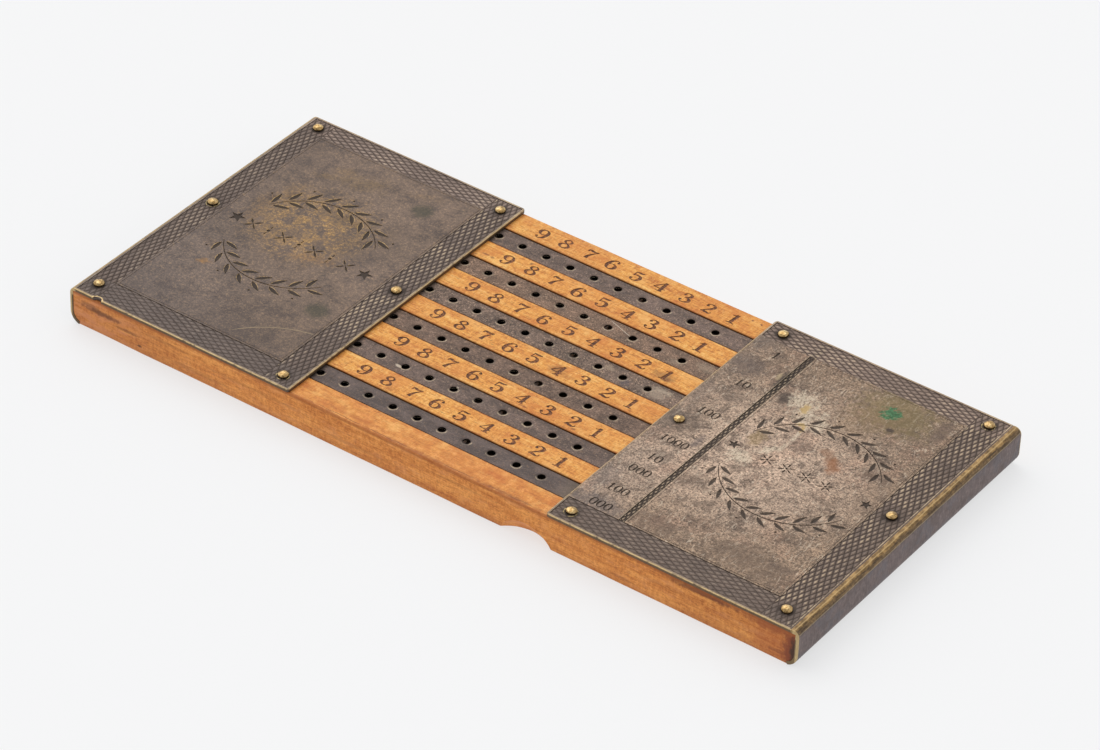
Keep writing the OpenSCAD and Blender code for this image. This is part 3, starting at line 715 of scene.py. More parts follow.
def wood_material():
    M = Mat("wood_oiled_maple")
    streak = M.noise(1.0, 5, 0.6, M.scaled(0.045, 0.55, 0.55, (3, 1, 2)), 0.8)
    fine = M.noise(1.5, 4, 0.7, M.scaled(0.22, 2.2, 2.2))
    fleck = M.noise(1.2, 3, 0.65, M.scaled(0.55, 2.4, 2.4, (9, 3, 1)))
    curl = M.noise(0.9, 3, 0.55, M.scaled(1.5, 0.5, 0.5, (5, 5, 5)))
    grit = M.noise(2.6, 3, 0.7)
    broad = M.noise(0.06, 3, 0.5)
    t = M.add(M.mul(streak, 0.30), M.add(M.mul(fine, 0.28), M.add(M.mul(curl, 0.2), M.mul(grit, 0.22))))
    col = M.ramp(t, [(0.40, lin((186, 108, 38))), (0.465, lin((226, 156, 74))), (0.525, lin((242, 180, 96))), (0.60, lin((255, 216, 146)))])
    col = M.mix(M.mul(M.smooth(broad, 0.42, 0.66), 0.35), col, lin((218, 140, 72)))
    col = M.mix(M.mul(M.smooth(fleck, 0.53, 0.66), 0.6), col, lin((172, 98, 40)))
    tick = M.noise(1.5, 3, 0.6, M.scaled(1.5, 0.55, 1, (2, 9, 3)))
    col = M.mix(M.mul(M.smooth(tick, 0.56, 0.68), 0.4), col, lin((180, 100, 40)))
    col = M.mix(M.mul(M.smooth(tick, 0.42, 0.32), 0.4), col, lin((255, 214, 150)))
    spots = M.noise(0.9, 2, 0.5, M.scaled(0.5, 1.2, 1.2, (12, 2, 8)))
    col = M.mix(M.mul(M.smooth(spots, 0.68, 0.76), 0.5), col, lin((130, 70, 30)))
    # the near rib is worn and redder
    rib = M.smooth(M.y, -39.5, -40.2)
    rm = M.noise(0.45, 5, 0.65, M.scaled(0.8, 1, 1, (8, 2, 4)))
    col = M.mix(M.mul(rib, 0.45), col, M.ramp(rm, [(0.38, lin((186, 104, 50))), (0.52, lin((218, 138, 72))), (0.64, lin((238, 164, 98)))]))
    col = M.mix(M.mul(M.mul(rib, M.smooth(M.add(M.mul(rm, 0.6), M.mul(grit, 0.4)), 0.53, 0.62)), 0.4), col, lin((250, 186, 124)))
    # the sides get a colouring of their own, darker towards the bottom
    nearf = M.smooth(M.y, Y0 + 0.5, Y0 + 0.06)
    scol = M.gain(M.ramp(t, [(0.40, lin((168, 98, 44))), (0.48, lin((198, 130, 69))), (0.58, lin((226, 164, 102)))]), 1.22)
    scol = M.mix(M.mul(M.smooth(fleck, 0.53, 0.66), 0.5), scol, lin((150, 84, 38)))
    pinkish = M.noise(0.4, 5, 0.65, M.scaled(0.45, 1, 1.4, (18, 2, 4)))
    scol = M.mix(M.mul(M.smooth(pinkish, 0.50, 0.66), 0.35), scol, lin((226, 164, 128)))
    lowz = M.smooth(M.z, 3.0, 0.2)
    scol = M.mix(M.mul(lowz, 0.25), scol, lin((158, 92, 44)))
    endl = M.smooth(M.x, -70, -103)
    scol = M.gain(scol, M.sub(1.0, M.mul(M.smooth(M.math("ABSOLUTE", M.x), 60, 84), 0.10)))
    scol = M.mix(M.mul(endl, 0.22), scol, lin((186, 104, 66)))
    scol = M.mix(M.mul(M.mul(M.smooth(M.x, -76, -100), M.smooth(pinkish, 0.44, 0.56)), 0.4), scol, lin((224, 158, 132)))
    for cx, cz, rx, rz, amt, c in [(-96, 6.4, 5.2, 0.7, 0.75, (88, 48, 28)), (-99.5, 7.3, 2.6, 0.5, 0.5, (100, 56, 32)), (-88, 4.8, 3.2, 0.45, 0.5, (104, 58, 32)), (-84.5, 2.2, 0.6, 0.4, 0.8, (76, 40, 24)),
                                  (-66, 2.6, 9, 0.6, 0.3, (134, 74, 36)), (100.5, 4.5, 6.5, 6.5, 0.45, (168, 84, 50)), (104.3, 4.5, 2.2, 5.5, 0.8, (118, 52, 32)), (105.1, 3.5, 1.1, 5.0, 0.9, (60, 36, 28)),
                                  (-50, 5.5, 14, 0.5, 0.3, (150, 88, 42)), (-20, 3.0, 12, 0.45, 0.3, (150, 88, 42)), (12, 6.4, 10, 0.4, 0.3, (150, 88, 42)), (-76, 6.8, 7, 0.35, 0.4, (140, 78, 40)),
                                  (101.0, 2.5, 3.0, 0.5, 0.5, (124, 60, 34)), (80, 8.6, 9.0, 0.7, 0.75, (96, 44, 24)), (58, 2.0, 3.2, 0.4, 0.35, (134, 76, 38)), (70, 5.5, 7, 0.4, 0.25, (144, 84, 44)),
                                  (98, 8.4, 6.0, 1.2, 0.5, (134, 62, 32))]:
        scol = M.mix(M.mul(M.spot(cx, cz, rx, rz, 0, 0.5, 0.5, 0.7, v=M.z, seed=cx), amt), scol, lin(c))
    scol = M.tint(scol, (1.0, 0.97, 0.86))
    # darker red patches of wear on the ribs
    patch = M.noise(0.16, 4, 0.62, M.scaled(1, 1.4, 1, (33, 6, 2)))
    col = M.mix(M.mul(M.smooth(patch, 0.52, 0.66), 0.42), col, lin((206, 118, 52)))
    col = M.mix(M.mul(M.smooth(patch, 0.44, 0.34), 0.35), col, lin((255, 208, 140)))
    col = M.mix(nearf, col, scol)
    farf = M.smooth(M.y, Y1 - 0.4, Y1 - 0.05)
    col = M.mix(M.mul(farf, 0.5), col, lin((182, 114, 58)))
    # dirt on the arrises of the grooves; painted shade and dirt on their walls and floors
    gd = None
    for y in ROW:
        q = M.sub(M.math("ABSOLUTE", M.sub(M.y, y)), GW / 2)
        gd = q if gd is None else M.mn(gd, q)
    wob = M.mul(M.sub(M.noise(0.7, 3, 0.6), 0.5), 0.5)
    ar = M.mul(M.smooth(M.add(M.math("ABSOLUTE", gd), wob), 0.40, 0.02), M.smooth(M.z, 7.0, 8.0))
    col = M.mix(M.mul(ar, 0.65), col, lin((136, 70, 28)))
    wall = M.mul(M.smooth(M.z, BT - 0.12, BT - 0.3), M.smooth(M.z, 7.9, 8.0))
    ingroove = M.smooth(gd, 0.06, -0.02)
    col = M.mix(M.mul(M.mul(wall, ingroove), 0.9), col, lin((44, 26, 16)))
    # painted shade: the holes and pockets inside are painted dark
    inner_hole_shade = M.mul(M.smooth(M.math("ABSOLUTE", M.x), 101.5, 101.0), M.smooth(M.math("ABSOLUTE", M.y), 43.5, 43.0))
    col = M.mix(M.mul(M.mul(inner_hole_shade, M.mul(M.smooth(M.z, 0.8, 5.0), M.smooth(M.z, BT - 0.9, BT - 1.2))), 0.93), col, lin((30, 19, 13)))
    # near top edge rubbed and chipped, darker in the chips
    et = M.smooth(M.add(M.sub(M.y, Y0), M.mul(M.sub(M.noise(0.5, 4, 0.65), 0.5), 1.3)), 0.7, 0.35)
    et = M.mul(et, M.smooth(M.z, BT - 1.0, BT - 0.45))
    col = M.mix(M.mul(et, 0.6), col, lin((158, 88, 40)))
    # a fine split that wanders along the near rib
    sy = M.add(Y0 + 0.85, M.mul(M.sub(M.noise(0.28, 4, 0.6, M.scaled(1, 0, 0, (0, 4, 0))), 0.5), 1.3))
    sp = M.mul(M.smooth(M.math("ABSOLUTE", M.sub(M.y, sy)), 0.13, 0.03), M.smooth(M.noise(0.12, 2, 0.5, M.scaled(1, 0, 0, (3, 1, 0))), 0.44, 0.52))
    sp = M.mul(M.mul(sp, M.smooth(M.z, BT - 0.3, BT - 0.1)), M.mul(M.smooth(M.x, -36, -30), M.smooth(M.x, 33, 30)))
    col = M.mix(M.mul(sp, 0.75), col, lin((104, 54, 26)))
    # painted shadow of the left cover's edge on the wood beside it, and a weaker darkening by the right cover
    topm = M.mul(M.smooth(M.z, BT - 0.3, BT - 0.1), M.sub(1.0, nearf))
    col = M.mix(M.mul(M.mul(M.smooth(M.add(M.x, wob), LX1 + 1.5, LX1 - 0.2), topm), 0.38), col, lin((128, 68, 30)))
    col = M.mix(M.mul(M.mul(M.smooth(M.add(M.x, wob), RX0 - 1.2, RX0 + 0.3), topm), 0.22), col, lin((128, 68, 30)))
    # smudges and small spots on the ribs
    for cx, cy, rx, ry, amt, c in [(27.0, 13.0, 3.2, 1.3, 0.5, (112, 72, 44)), (28.5, 12.4, 1.2, 0.8, 0.5, (74, 48, 34)), (5.8, -0.6, 1.6, 1.7, 0.55, (98, 60, 38)),
                                  (9.0, -1.4, 2.4, 0.8, 0.3, (150, 92, 50)), (31.4, 44.9, 0.35, 0.3, 0.9, (120, 50, 30)), (34.0, 44.8, 0.45, 0.35, 0.9, (120, 50, 30)), (-35.6, 27.0, 0.9, 0.3, 0.7, (120, 60, 34)),
                                  (-33.6, 26.8, 0.5, 0.3, 0.6, (120, 60, 34)), (8.0, -17.2, 1.2, 0.3, 0.7, (140, 64, 34)), (22.3, -17.0, 0.5, 0.3, 0.6, (120, 60, 34)),
                                  (-21.0, -31.2, 1.4, 0.9, 0.3, (150, 84, 44)), (-24.5, 30.6, 0.4, 0.4, 0.8, (100, 60, 40)), (-20, -45.0, 9, 0.6, 0.3, (176, 102, 50)),
                                  (2, -46.6, 14, 0.5, 0.4, (140, 76, 38)), (25, -46.5, 8, 0.5, 0.5, (124, 68, 36))]:
        col = M.mix(M.mul(M.mul(M.spot(cx, cy, rx, ry, 0, 0.6, 0.6, 0.9, seed=cx), topm), amt), col, lin(c))
    under = M.smooth(M.z, 0.25, 0.02)
    ucol = M.ramp(t, [(0.34, lin((176, 108, 54))), (0.5, lin((202, 134, 72))), (0.64, lin((218, 154, 90)))])
    col = M.mix(M.mul(under, 0.8), col, ucol)
    col = M.tint(col, (0.95, 0.85, 0.62))
    M.set(Base_Color=col, Roughness=M.add(0.42, M.mul(fine, 0.22)), Specular_IOR_Level=0.35)
    h = M.add(M.mul(fine, 0.6), M.add(M.mul(streak, 0.5), M.mul(fleck, -0.5)))
    M.set(Normal=M.bump(h, 0.4, 0.0001))
    return M.m


def ink_material():
    M = Mat("stamped_ink")
    n = M.noise(1.6, 4, 0.7)
    col = M.ramp(n, [(0.36, lin((66, 37, 21))), (0.50, lin((101, 59, 32))), (0.64, lin((172, 107, 57)))])
    M.set(Base_Color=col, Roughness=0.75)
    M.set(Normal=M.bump(n, 0.3, 0.00005))
    return M.m


def slide_material(i):
    M = Mat("slide_metal_%d" % i)
    y0 = ROW[i]
    off = (17.0 * i + 3, 5.0 * i, i)
    a = M.noise(0.28, 5, 0.65, M.scaled(0.6, 1, 1, off))
    b = M.noise(1.25, 4, 0.7, M.scaled(1, 1, 1, off))
    g = M.noise(2.8, 3, 0.75, M.scaled(1, 1, 1, off))
    c = M.noise(1.4, 4, 0.7, M.scaled(0.5, 4, 1, off))
    tint = [(122, 105, 96), (134, 111, 94), (124, 106, 94), (121, 101, 88), (116, 100, 92), (105, 93, 89)][i]
    col = M.mix(M.smooth(a, 0.36, 0.64), lin(tuple(v * 0.88 for v in tint)), lin(tuple(v * 1.10 for v in tint)))
    col = M.mix(M.mul(M.smooth(b, 0.52, 0.66), 0.3), col, lin((128, 100, 74)))
    col = M.tint(col, (0.78, 0.73, 0.70))
    k = [2.2, 3.0, 3.0, 2.3, 1.8, 1.1][i]
    col = M.mix(M.mul(M.smooth(M.add(M.mul(g, 0.6), M.mul(b, 0.4)), 0.54, 0.64), 0.10 * k), col, lin((186, 166, 140)))
    for n, kk in ((b, 1.0 * k * 0.75), (g, 1.25 * k), (c, 0.9)):
        col = M.gain(col, M.math("MAXIMUM", M.add(1.0, M.mul(M.sub(n, 0.5), kk)), 0.3))
    # hole rims: dark grime, and a painted highlight crescent on one side of some
    u = M.math("FRACT", M.add(M.mul(M.sub(M.x, HOLE1), 1 / HP), 200.5))
    u = M.mul(M.sub(u, 0.5), HP)
    v = M.sub(M.y, y0)
    here = M.smooth(M.x, HOLE1 + 2.6, HOLE1 + 2.4)
    r = M.math("SQRT", M.add(M.mul(u, u), M.mul(v, v)))
    wob = M.mul(M.sub(b, 0.5), 0.7)
    side = M.smooth(M.add(M.mul(u, 0.5), M.mul(v, -1.0)), -0.3, 0.9)
    rim = M.smooth(M.math("ABSOLUTE", M.sub(M.add(r, wob), 1.34)), 0.22, 0.04)
    pick = M.smooth(M.noise(0.21, 2, 0.5, M.scaled(1, 1, 1, off)), 0.40, 0.54, 0.25, 1.0)
    halo = M.mul(M.smooth(r, 1.75, 1.1), M.smooth(b, 0.3, 0.6))
    col = M.mix(M.mul(M.mul(halo, here), 0.5), col, lin((60, 48, 40)))
    col = M.mix(M.mul(M.mul(M.mul(rim, side), M.mul(pick, here)), 0.75), col, lin((190, 170, 142)))
    # painted shade down the walls of the holes
    hole_wall_shade = M.smooth(M.z, S_TOP - 0.07, S_TOP - 0.2)
    col = M.mix(M.mul(hole_wall_shade, 0.94), col, lin((20, 15, 12)))
    # edges: a thin rubbed line
    e = M.smooth(M.sub(SW / 2, M.math("ABSOLUTE", v)), 0.30, 0.08)
    col = M.mix(M.mul(M.mul(e, M.smooth(c, 0.45, 0.6)), 0.25), col, lin((150, 130, 108)))
    if i == 2:
        for cx, cy, rx, ry, amt, cc in [(29, 6.6, 3.4, 1.8, 0.45, (172, 154, 134)), (31, 8.2, 2.2, 0.7, 0.45, (190, 172, 150)), (21.2, 5.6, 1.3, 1.2, 0.5, (72, 66, 74)), (15, 8.0, 1.2, 0.8, 0.4, (170, 150, 126))]:
            col = M.mix(M.mul(M.spot(cx, cy, rx, ry, 0, 0.6, 0.9, 0.8, seed=cx), amt), col, lin(cc))
    if i == 1:
        for cx, cy, rx, ry, amt, cc in [(-28, 20.0, 3.0, 1.4, 0.35, (84, 64, 50)), (33, 22.0, 2.4, 1.4, 0.35, (164, 146, 124)), (26, 19.6, 1.6, 0.9, 0.3, (164, 146, 124))]:
            col = M.mix(M.mul(M.spot(cx, cy, rx, ry, 0, 0.6, 0.9, 0.9, seed=cx), amt), col, lin(cc))
        # a fine bright scratch
        sc = M.sub(M.y, M.add(23.55, M.mul(M.sub(M.x, 5.0), -0.34)))
        sm = M.mul(M.mul(M.smooth(M.math("ABSOLUTE", sc), 0.09, 0.03), M.smooth(M.x, 4.0, 5.0)), M.smooth(M.x, 12.6, 11.8))
        col = M.mix(M.mul(sm, 0.9), col, lin((214, 200, 180)))
    if i == 5:
        col = M.mix(M.mul(M.smooth(M.x, 30.5, 36), 0.35), col, lin((120, 104, 84)))
    if i == 4:
        for cx, cy, rx, ry in [(-8.6, -21.6, 0.5, 1.0), (-25.0, -22.6, 0.9, 0.4)]:
            col = M.mix(M.mul(M.spot(cx, cy, rx, ry, 0, 0.4, 0.5, 1.2, seed=cx), 0.75), col, lin((206, 190, 168)))
    # painted shadow of the left cover's edge on the slide, where it goes under the cover
    col = M.mix(M.mul(M.smooth(M.x, LX1 + 1.6, LX1), 0.45), col, lin((44, 36, 30)))
    M.set(Base_Color=col, Roughness=M.add(0.44, M.mul(b, 0.2)), Metallic=0.55)
    M.set(Normal=M.bump(M.add(M.mul(g, 0.7), M.add(M.mul(b, 0.5), M.mul(c, 0.5))), 0.5, 0.00009))
    return M.m


def brass_pin_material():
    M = Mat("pin_brass")
    a = M.noise(1.1, 4, 0.65)
    b = M.noise(4.0, 3, 0.7)
    t = M.add(M.mul(a, 0.6), M.mul(b, 0.4))
    col = M.ramp(t, [(0.34, lin((112, 84, 48))), (0.46, lin((166, 134, 86))), (0.56, lin((204, 174, 122))), (0.68, lin((234, 212, 168)))])
    # painted shade round the base of each pin head
    pin_base_shade = M.smooth(M.z, TOP + 0.50, TOP + 0.10)
    col = M.mix(M.mul(pin_base_shade, 0.85), col, lin((66, 48, 28)))
    M.set(Base_Color=col, Roughness=M.add(0.15, M.mul(b, 0.18)), Metallic=1.0)
    M.set(Normal=M.bump(M.add(M.mul(a, 1.2), M.mul(b, 0.35)), 0.45, 0.00012))
    return M.m


def paper_material():
    M = Mat("numeral_paper")
    a = M.noise(0.4, 4, 0.6)
    b = M.noise(7.0, 3, 0.7)
    col = M.ramp(M.add(M.mul(a, 0.7), M.mul(b, 0.3)), [(0.35, lin((214, 194, 152))), (0.5, lin((234, 218, 182))), (0.68, lin((244, 232, 204)))])
    M.set(Base_Color=col, Roughness=0.85)
    M.set(Normal=M.bump(b, 0.3, 0.00003))
    return M.m


def black_ink():
    M = Mat("printers_ink")
    b = M.noise(7.0, 3, 0.7)
    M.set(Base_Color=M.mix(b, lin((22, 20, 20)), lin((52, 48, 46))), Roughness=0.7)
    return M.m


def spring_material():
    M = Mat("spring_steel")
    a = M.noise(0.8, 4, 0.6, M.scaled(0.4, 3, 1))
    b = M.noise(5.0, 3, 0.7)
    col = M.ramp(M.add(M.mul(a, 0.6), M.mul(b, 0.4)), [(0.35, lin((96, 92, 96))), (0.52, lin((140, 136, 138))), (0.7, lin((168, 160, 154)))])
    M.set(Base_Color=col, Roughness=M.add(0.28, M.mul(b, 0.2)), Metallic=1.0)
    M.set(Normal=M.bump(a, 0.3, 0.00004))
    return M.m


# ---------------------------------------------------------------- the board
def wavy(x, k, amp, f=0.08):
    return amp * mnoise.noise(Vector((x * f + 13.1 * k, 7.7 * k, 1.3)))


def build_board(wood, ink):
    rng = random.Random(3)
    ys = []
    n_st = 190
    xs = np.linspace(-HL - 0.5, HL + 0.5, n_st)
    rings = []
    for x in xs:
        ring = []
        # bottom near corner, up round the section: bottom -> far side -> top -> near side
        rb = 0.5 + wavy(x, 1, 0.12)
        ring += [(x, Y0 + rb - rb * math.sin(math.radians(a)), rb - rb * math.cos(math.radians(a))) for a in (90, 60, 30, 0)]
        rb = 0.45
        ring += [(x, Y1 - rb + rb * math.sin(math.radians(a)), rb - rb * math.cos(math.radians(a))) for a in (0, 30, 60, 90)]
        rt = 0.35 + wavy(x, 2, 0.1)
        ring += [(x, Y1 - rt + rt * math.cos(math.radians(a)), BT - rt + rt * math.sin(math.radians(a))) for a in (0, 30, 60, 90)]
        for i, y in enumerate(ROW):
            for side in (1, -1):
                ra = 0.13 + abs(wavy(x, 10 + 2 * i + side, 0.10, 0.16))
                yw = y + side * GW / 2
                pts = [(x, yw + side * (ra - ra * math.sin(math.radians(a))), BT - ra + ra * math.cos(math.radians(a))) for a in (0, 35, 65, 90)]
                if side == 1:
                    ring += pts + [(x, yw, GF)]
                else:
                    ring += [(x, yw, GF)] + pts[::-1]
        # near top edge: worn, with chips
        chip = max(0.0, mnoise.noise(Vector((x * 0.11, 3.1, 9.2))) - 0.12) * 0.9
        if not (LX1 < x < RX0):
            chip *= 0.35
        rn = 0.32 + wavy(x, 5, 0.12) + chip
        ring += [(x, Y0 + rn - rn * math.sin(math.radians(a)), BT - rn * 0.8 + rn * 0.8 * math.cos(math.radians(a))) for a in (0, 22, 45, 68, 90)]
        rings.append(ring)
    v, f = loft(rings)
    ob = new_obj("board_body", v, f, (wood, ink), [0] * len(f))

    # end profile: rounded bottom corners, less the covers' end walls
    def end_pts(s):
        c = HL - ENDR
        pts = []
        a_lip = -75
        pts += [(s * WALLX, BT + 3), (s * WALLX, ENDR)]
        pts += [(s * (c + (ENDR - CT) * math.cos(math.radians(a))), ENDR + (ENDR - CT) * math.sin(math.radians(a))) for a in np.linspace(0, a_lip, 11)[1:]]
        pts += [(s * (c + ENDR * math.cos(math.radians(a))), ENDR + ENDR * math.sin(math.radians(a))) for a in (a_lip, -82, -90)]
        return pts

    right = end_pts(1)
    left = end_pts(-1)[::-1]
    prof = right + [(90, -0.0), (-90, -0.0)] + left
    # extend the flat underside a little below zero so that it stays where the loft has it
    prof = [(x, z if z > 1e-6 else -0.6) if abs(x) < HL - ENDR - 0.01 else (x, z) for x, z in prof]
    s = Soup()
    n = len(prof)
    va = [(x, Y0 - 2, z) for x, z in prof] + [(x, Y1 + 2, z) for x, z in prof]
    fa = [tuple(range(n)), tuple(range(2 * n - 1, n - 1, -1))] + [(i, i + n, (i + 1) % n + n, (i + 1) % n) for i in range(n)]
    s.add(va, fa)
    boolean(ob, s.obj("c_end", (wood, ink)), "INTERSECT")

    # hollows
    s = Soup()
    for i, y in enumerate(ROW):
        s.box(-22 - 14, -22 + 14, y - 3.1, y + 3.1, GF - 1.6, GF + 0.25)
        s.lathe([(5.95, -0.35), (5.62, 0.02), (3.12, 5.55), (3.0, 5.9), (3.0, GF + 0.25)], SIGHT_X, y, 64)
    for px, py in LP + RP:
        s.lathe([(0.0, BT - 7.0), (0.55, BT - 6.8), (0.55, BT + 0.3)], px, py, 20)
    # scooped notch, cut by hand: a slightly uneven sphere
    sv, sf = [], []
    nu, nv = 72, 36
    for a in range(nv + 1):
        th = math.pi * a / nv
        for b in range(nu):
            ph = 2 * math.pi * b / nu
            d = Vector((math.sin(th) * math.cos(ph), math.sin(th) * math.sin(ph), math.cos(th)))
            r = 11.0 + 0.10 * mnoise.noise(d * 3.5 + Vector((4, 2, 7)))
            if 0 < a < nv:
                sv.append((30.7 + d.x * r, Y0 - 6.88 + d.y * r, -4.2 + d.z * r))
    tp, bt = len(sv), len(sv) + 1
    sv += [(30.7, Y0 - 6.88, -4.2 + 11.0), (30.7, Y0 - 6.88, -4.2 - 11.0)]
    for a in range(nv - 2):
        for b in range(nu):
            b2 = (b + 1) % nu
            sf.append((a * nu + b, (a + 1) * nu + b, (a + 1) * nu + b2, a * nu + b2))
    for b in range(nu):
        b2 = (b + 1) % nu
        sf.append((tp, b, b2))
        sf.append((bt, (nv - 2) * nu + b2, (nv - 2) * nu + b))
    s.add(sv, sf)
    boolean(ob, s.obj("c_hollow", (wood, ink)))

    # stamped numerals 9 to 1 on the rib on the far side of each slide
    s = Soup()
    for i in range(6):
        for d in range(1, 10):
            cx = HOLE1 - (d - 1) * HP + 0.65 + rng.uniform(-0.22, 0.22)
            cy = 42.6 - 14.33 * i + rng.uniform(-0.18, 0.18)
            rot = math.radians(rng.uniform(-4.0, 3.0))
            cr, sr = math.cos(rot), math.sin(rot)
            dep = 0.10 + rng.uniform(-0.03, 0.03)

            def place(x, y, cx=cx, cy=cy, cr=cr, sr=sr):
                return cx + x * cr - y * sr, cy + x * sr + y * cr

            glyph(s, str(d), place, 3.95 * rng.uniform(0.97, 1.03), BT - dep, BT + 0.3, 1, bold=1.38, slant=0.06, wide=1.34)
    boolean(ob, s.obj("c_num", (wood, ink)), "DIFFERENCE", False)
    shade(ob, 38)
    ob.name = "board_visual"
    return to_metres(ob)


# ---------------------------------------------------------------- the covers
def clip_poly(P, x0, x1, y0, y1):
    def cut(P, ax, lim, keep_less):
        out = []
        for i in range(len(P)):
            a, b = P[i], P[(i + 1) % len(P)]
            ia = (a[ax] <= lim) if keep_less else (a[ax] >= lim)
            ib = (b[ax] <= lim) if keep_less else (b[ax] >= lim)
            if ia:
                out.append(a)
            if ia != ib:
                t = (lim - a[ax]) / (b[ax] - a[ax])
                out.append((a[0] + (b[0] - a[0]) * t, a[1] + (b[1] - a[1]) * t))
        return out
    for ax, lim, less in ((0, x0, False), (0, x1, True), (1, y0, False), (1, y1, True)):
        P = cut(P, ax, lim, less)
        if len(P) < 3:
            return []
    out = []
    for p in P:
        if not out or math.hypot(p[0] - out[-1][0], p[1] - out[-1][1]) > 0.03:
            out.append(p)
    if len(out) > 1 and math.hypot(out[0][0] - out[-1][0], out[0][1] - out[-1][1]) < 0.03:
        out.pop()
    return out if len(out) >= 3 else []


def lattice(soup, x0, x1, y0, y1, px, py, floor_z, top_z, pins, rng, seed, g=0.12, soft=1.0):
    """Raised diamond cells of a crosshatched band, with worn and uneven tops."""
    nx, ny = int((x1 - x0) / px) + 3, int((y1 - y0) / py) + 3
    for j in range(-1, 2 * ny):
        for i in range(-1, nx):
            cx = x0 + (i + (0.5 if j % 2 else 0.0)) * px
            cy = y0 + j * py / 2
            wx, wy = mnoise.noise(Vector((cx * 0.05, cy * 0.05, seed))) * 0.5, mnoise.noise(Vector((cx * 0.05, cy * 0.05, seed + 5))) * 0.5
            cx, cy = cx + wx + rng.uniform(-0.03, 0.03), cy + wy + rng.uniform(-0.03, 0.03)
            hx, hy = px / 2, py / 2
            k = 2 * g / (px * py / math.hypot(px, py))
            base = [(cx + hx * (1 - k), cy), (cx, cy + hy * (1 - k)), (cx - hx * (1 - k), cy), (cx, cy - hy * (1 - k))]
            P = clip_poly(base, x0 + 0.04, x1 - 0.04, y0 + 0.04, y1 - 0.04)
            if not P:
                continue
            mx = sum(p[0] for p in P) / len(P)
            my = sum(p[1] for p in P) / len(P)
            if any(math.hypot(mx - a, my - b) < 1.75 for a, b in pins):
                continue
            area = abs(sum(P[q][0] * P[(q + 1) % len(P)][1] - P[(q + 1) % len(P)][0] * P[q][1] for q in range(len(P)))) / 2
            if area < 0.12:
                continue
            wear = mnoise.noise(Vector((cx * 0.06, cy * 0.06, seed + 11)))
            near_pin = min(math.hypot(mx - a, my - b) for a, b in pins)
            fade = min(1.0, max(0.0, (near_pin - 1.6) / 2.6))
            rim = min(HW - abs(my), HL - abs(mx) - 1.4, abs(mx - (LX1 if mx < 0 else RX0)))
            fade = min(fade, max(0.0, (rim - 0.5) / 1.5))
            h = (top_z - floor_z) * min(1.0, max(0.45, 0.86 + 0.3 * wear + rng.uniform(-0.08, 0.08)))
            h *= soft * (0.35 + 0.65 * fade)
            n = len(P)
            v = []
            for sh, thin, hh in ((1.0, 1.0, -0.4), (0.97, 1.0, 0.10), (0.82, 0.92, 0.36), (0.62, 0.74, 0.80), (0.34, 0.42, 1.0)):
                ax, ay = (sh * thin, sh) if px < py else (sh, sh * thin)
                v += [(mx + (x - mx) * ax, my + (y - my) * ay, floor_z + h * hh) for x, y in P]
            f = [tuple(range(n - 1, -1, -1)), tuple(range(4 * n, 5 * n))]
            for r in range(0, 4 * n, n):
                f += [(r + q, r + (q + 1) % n, r + n + (q + 1) % n, r + n + q) for q in range(n)]
            soup.add(v, f)


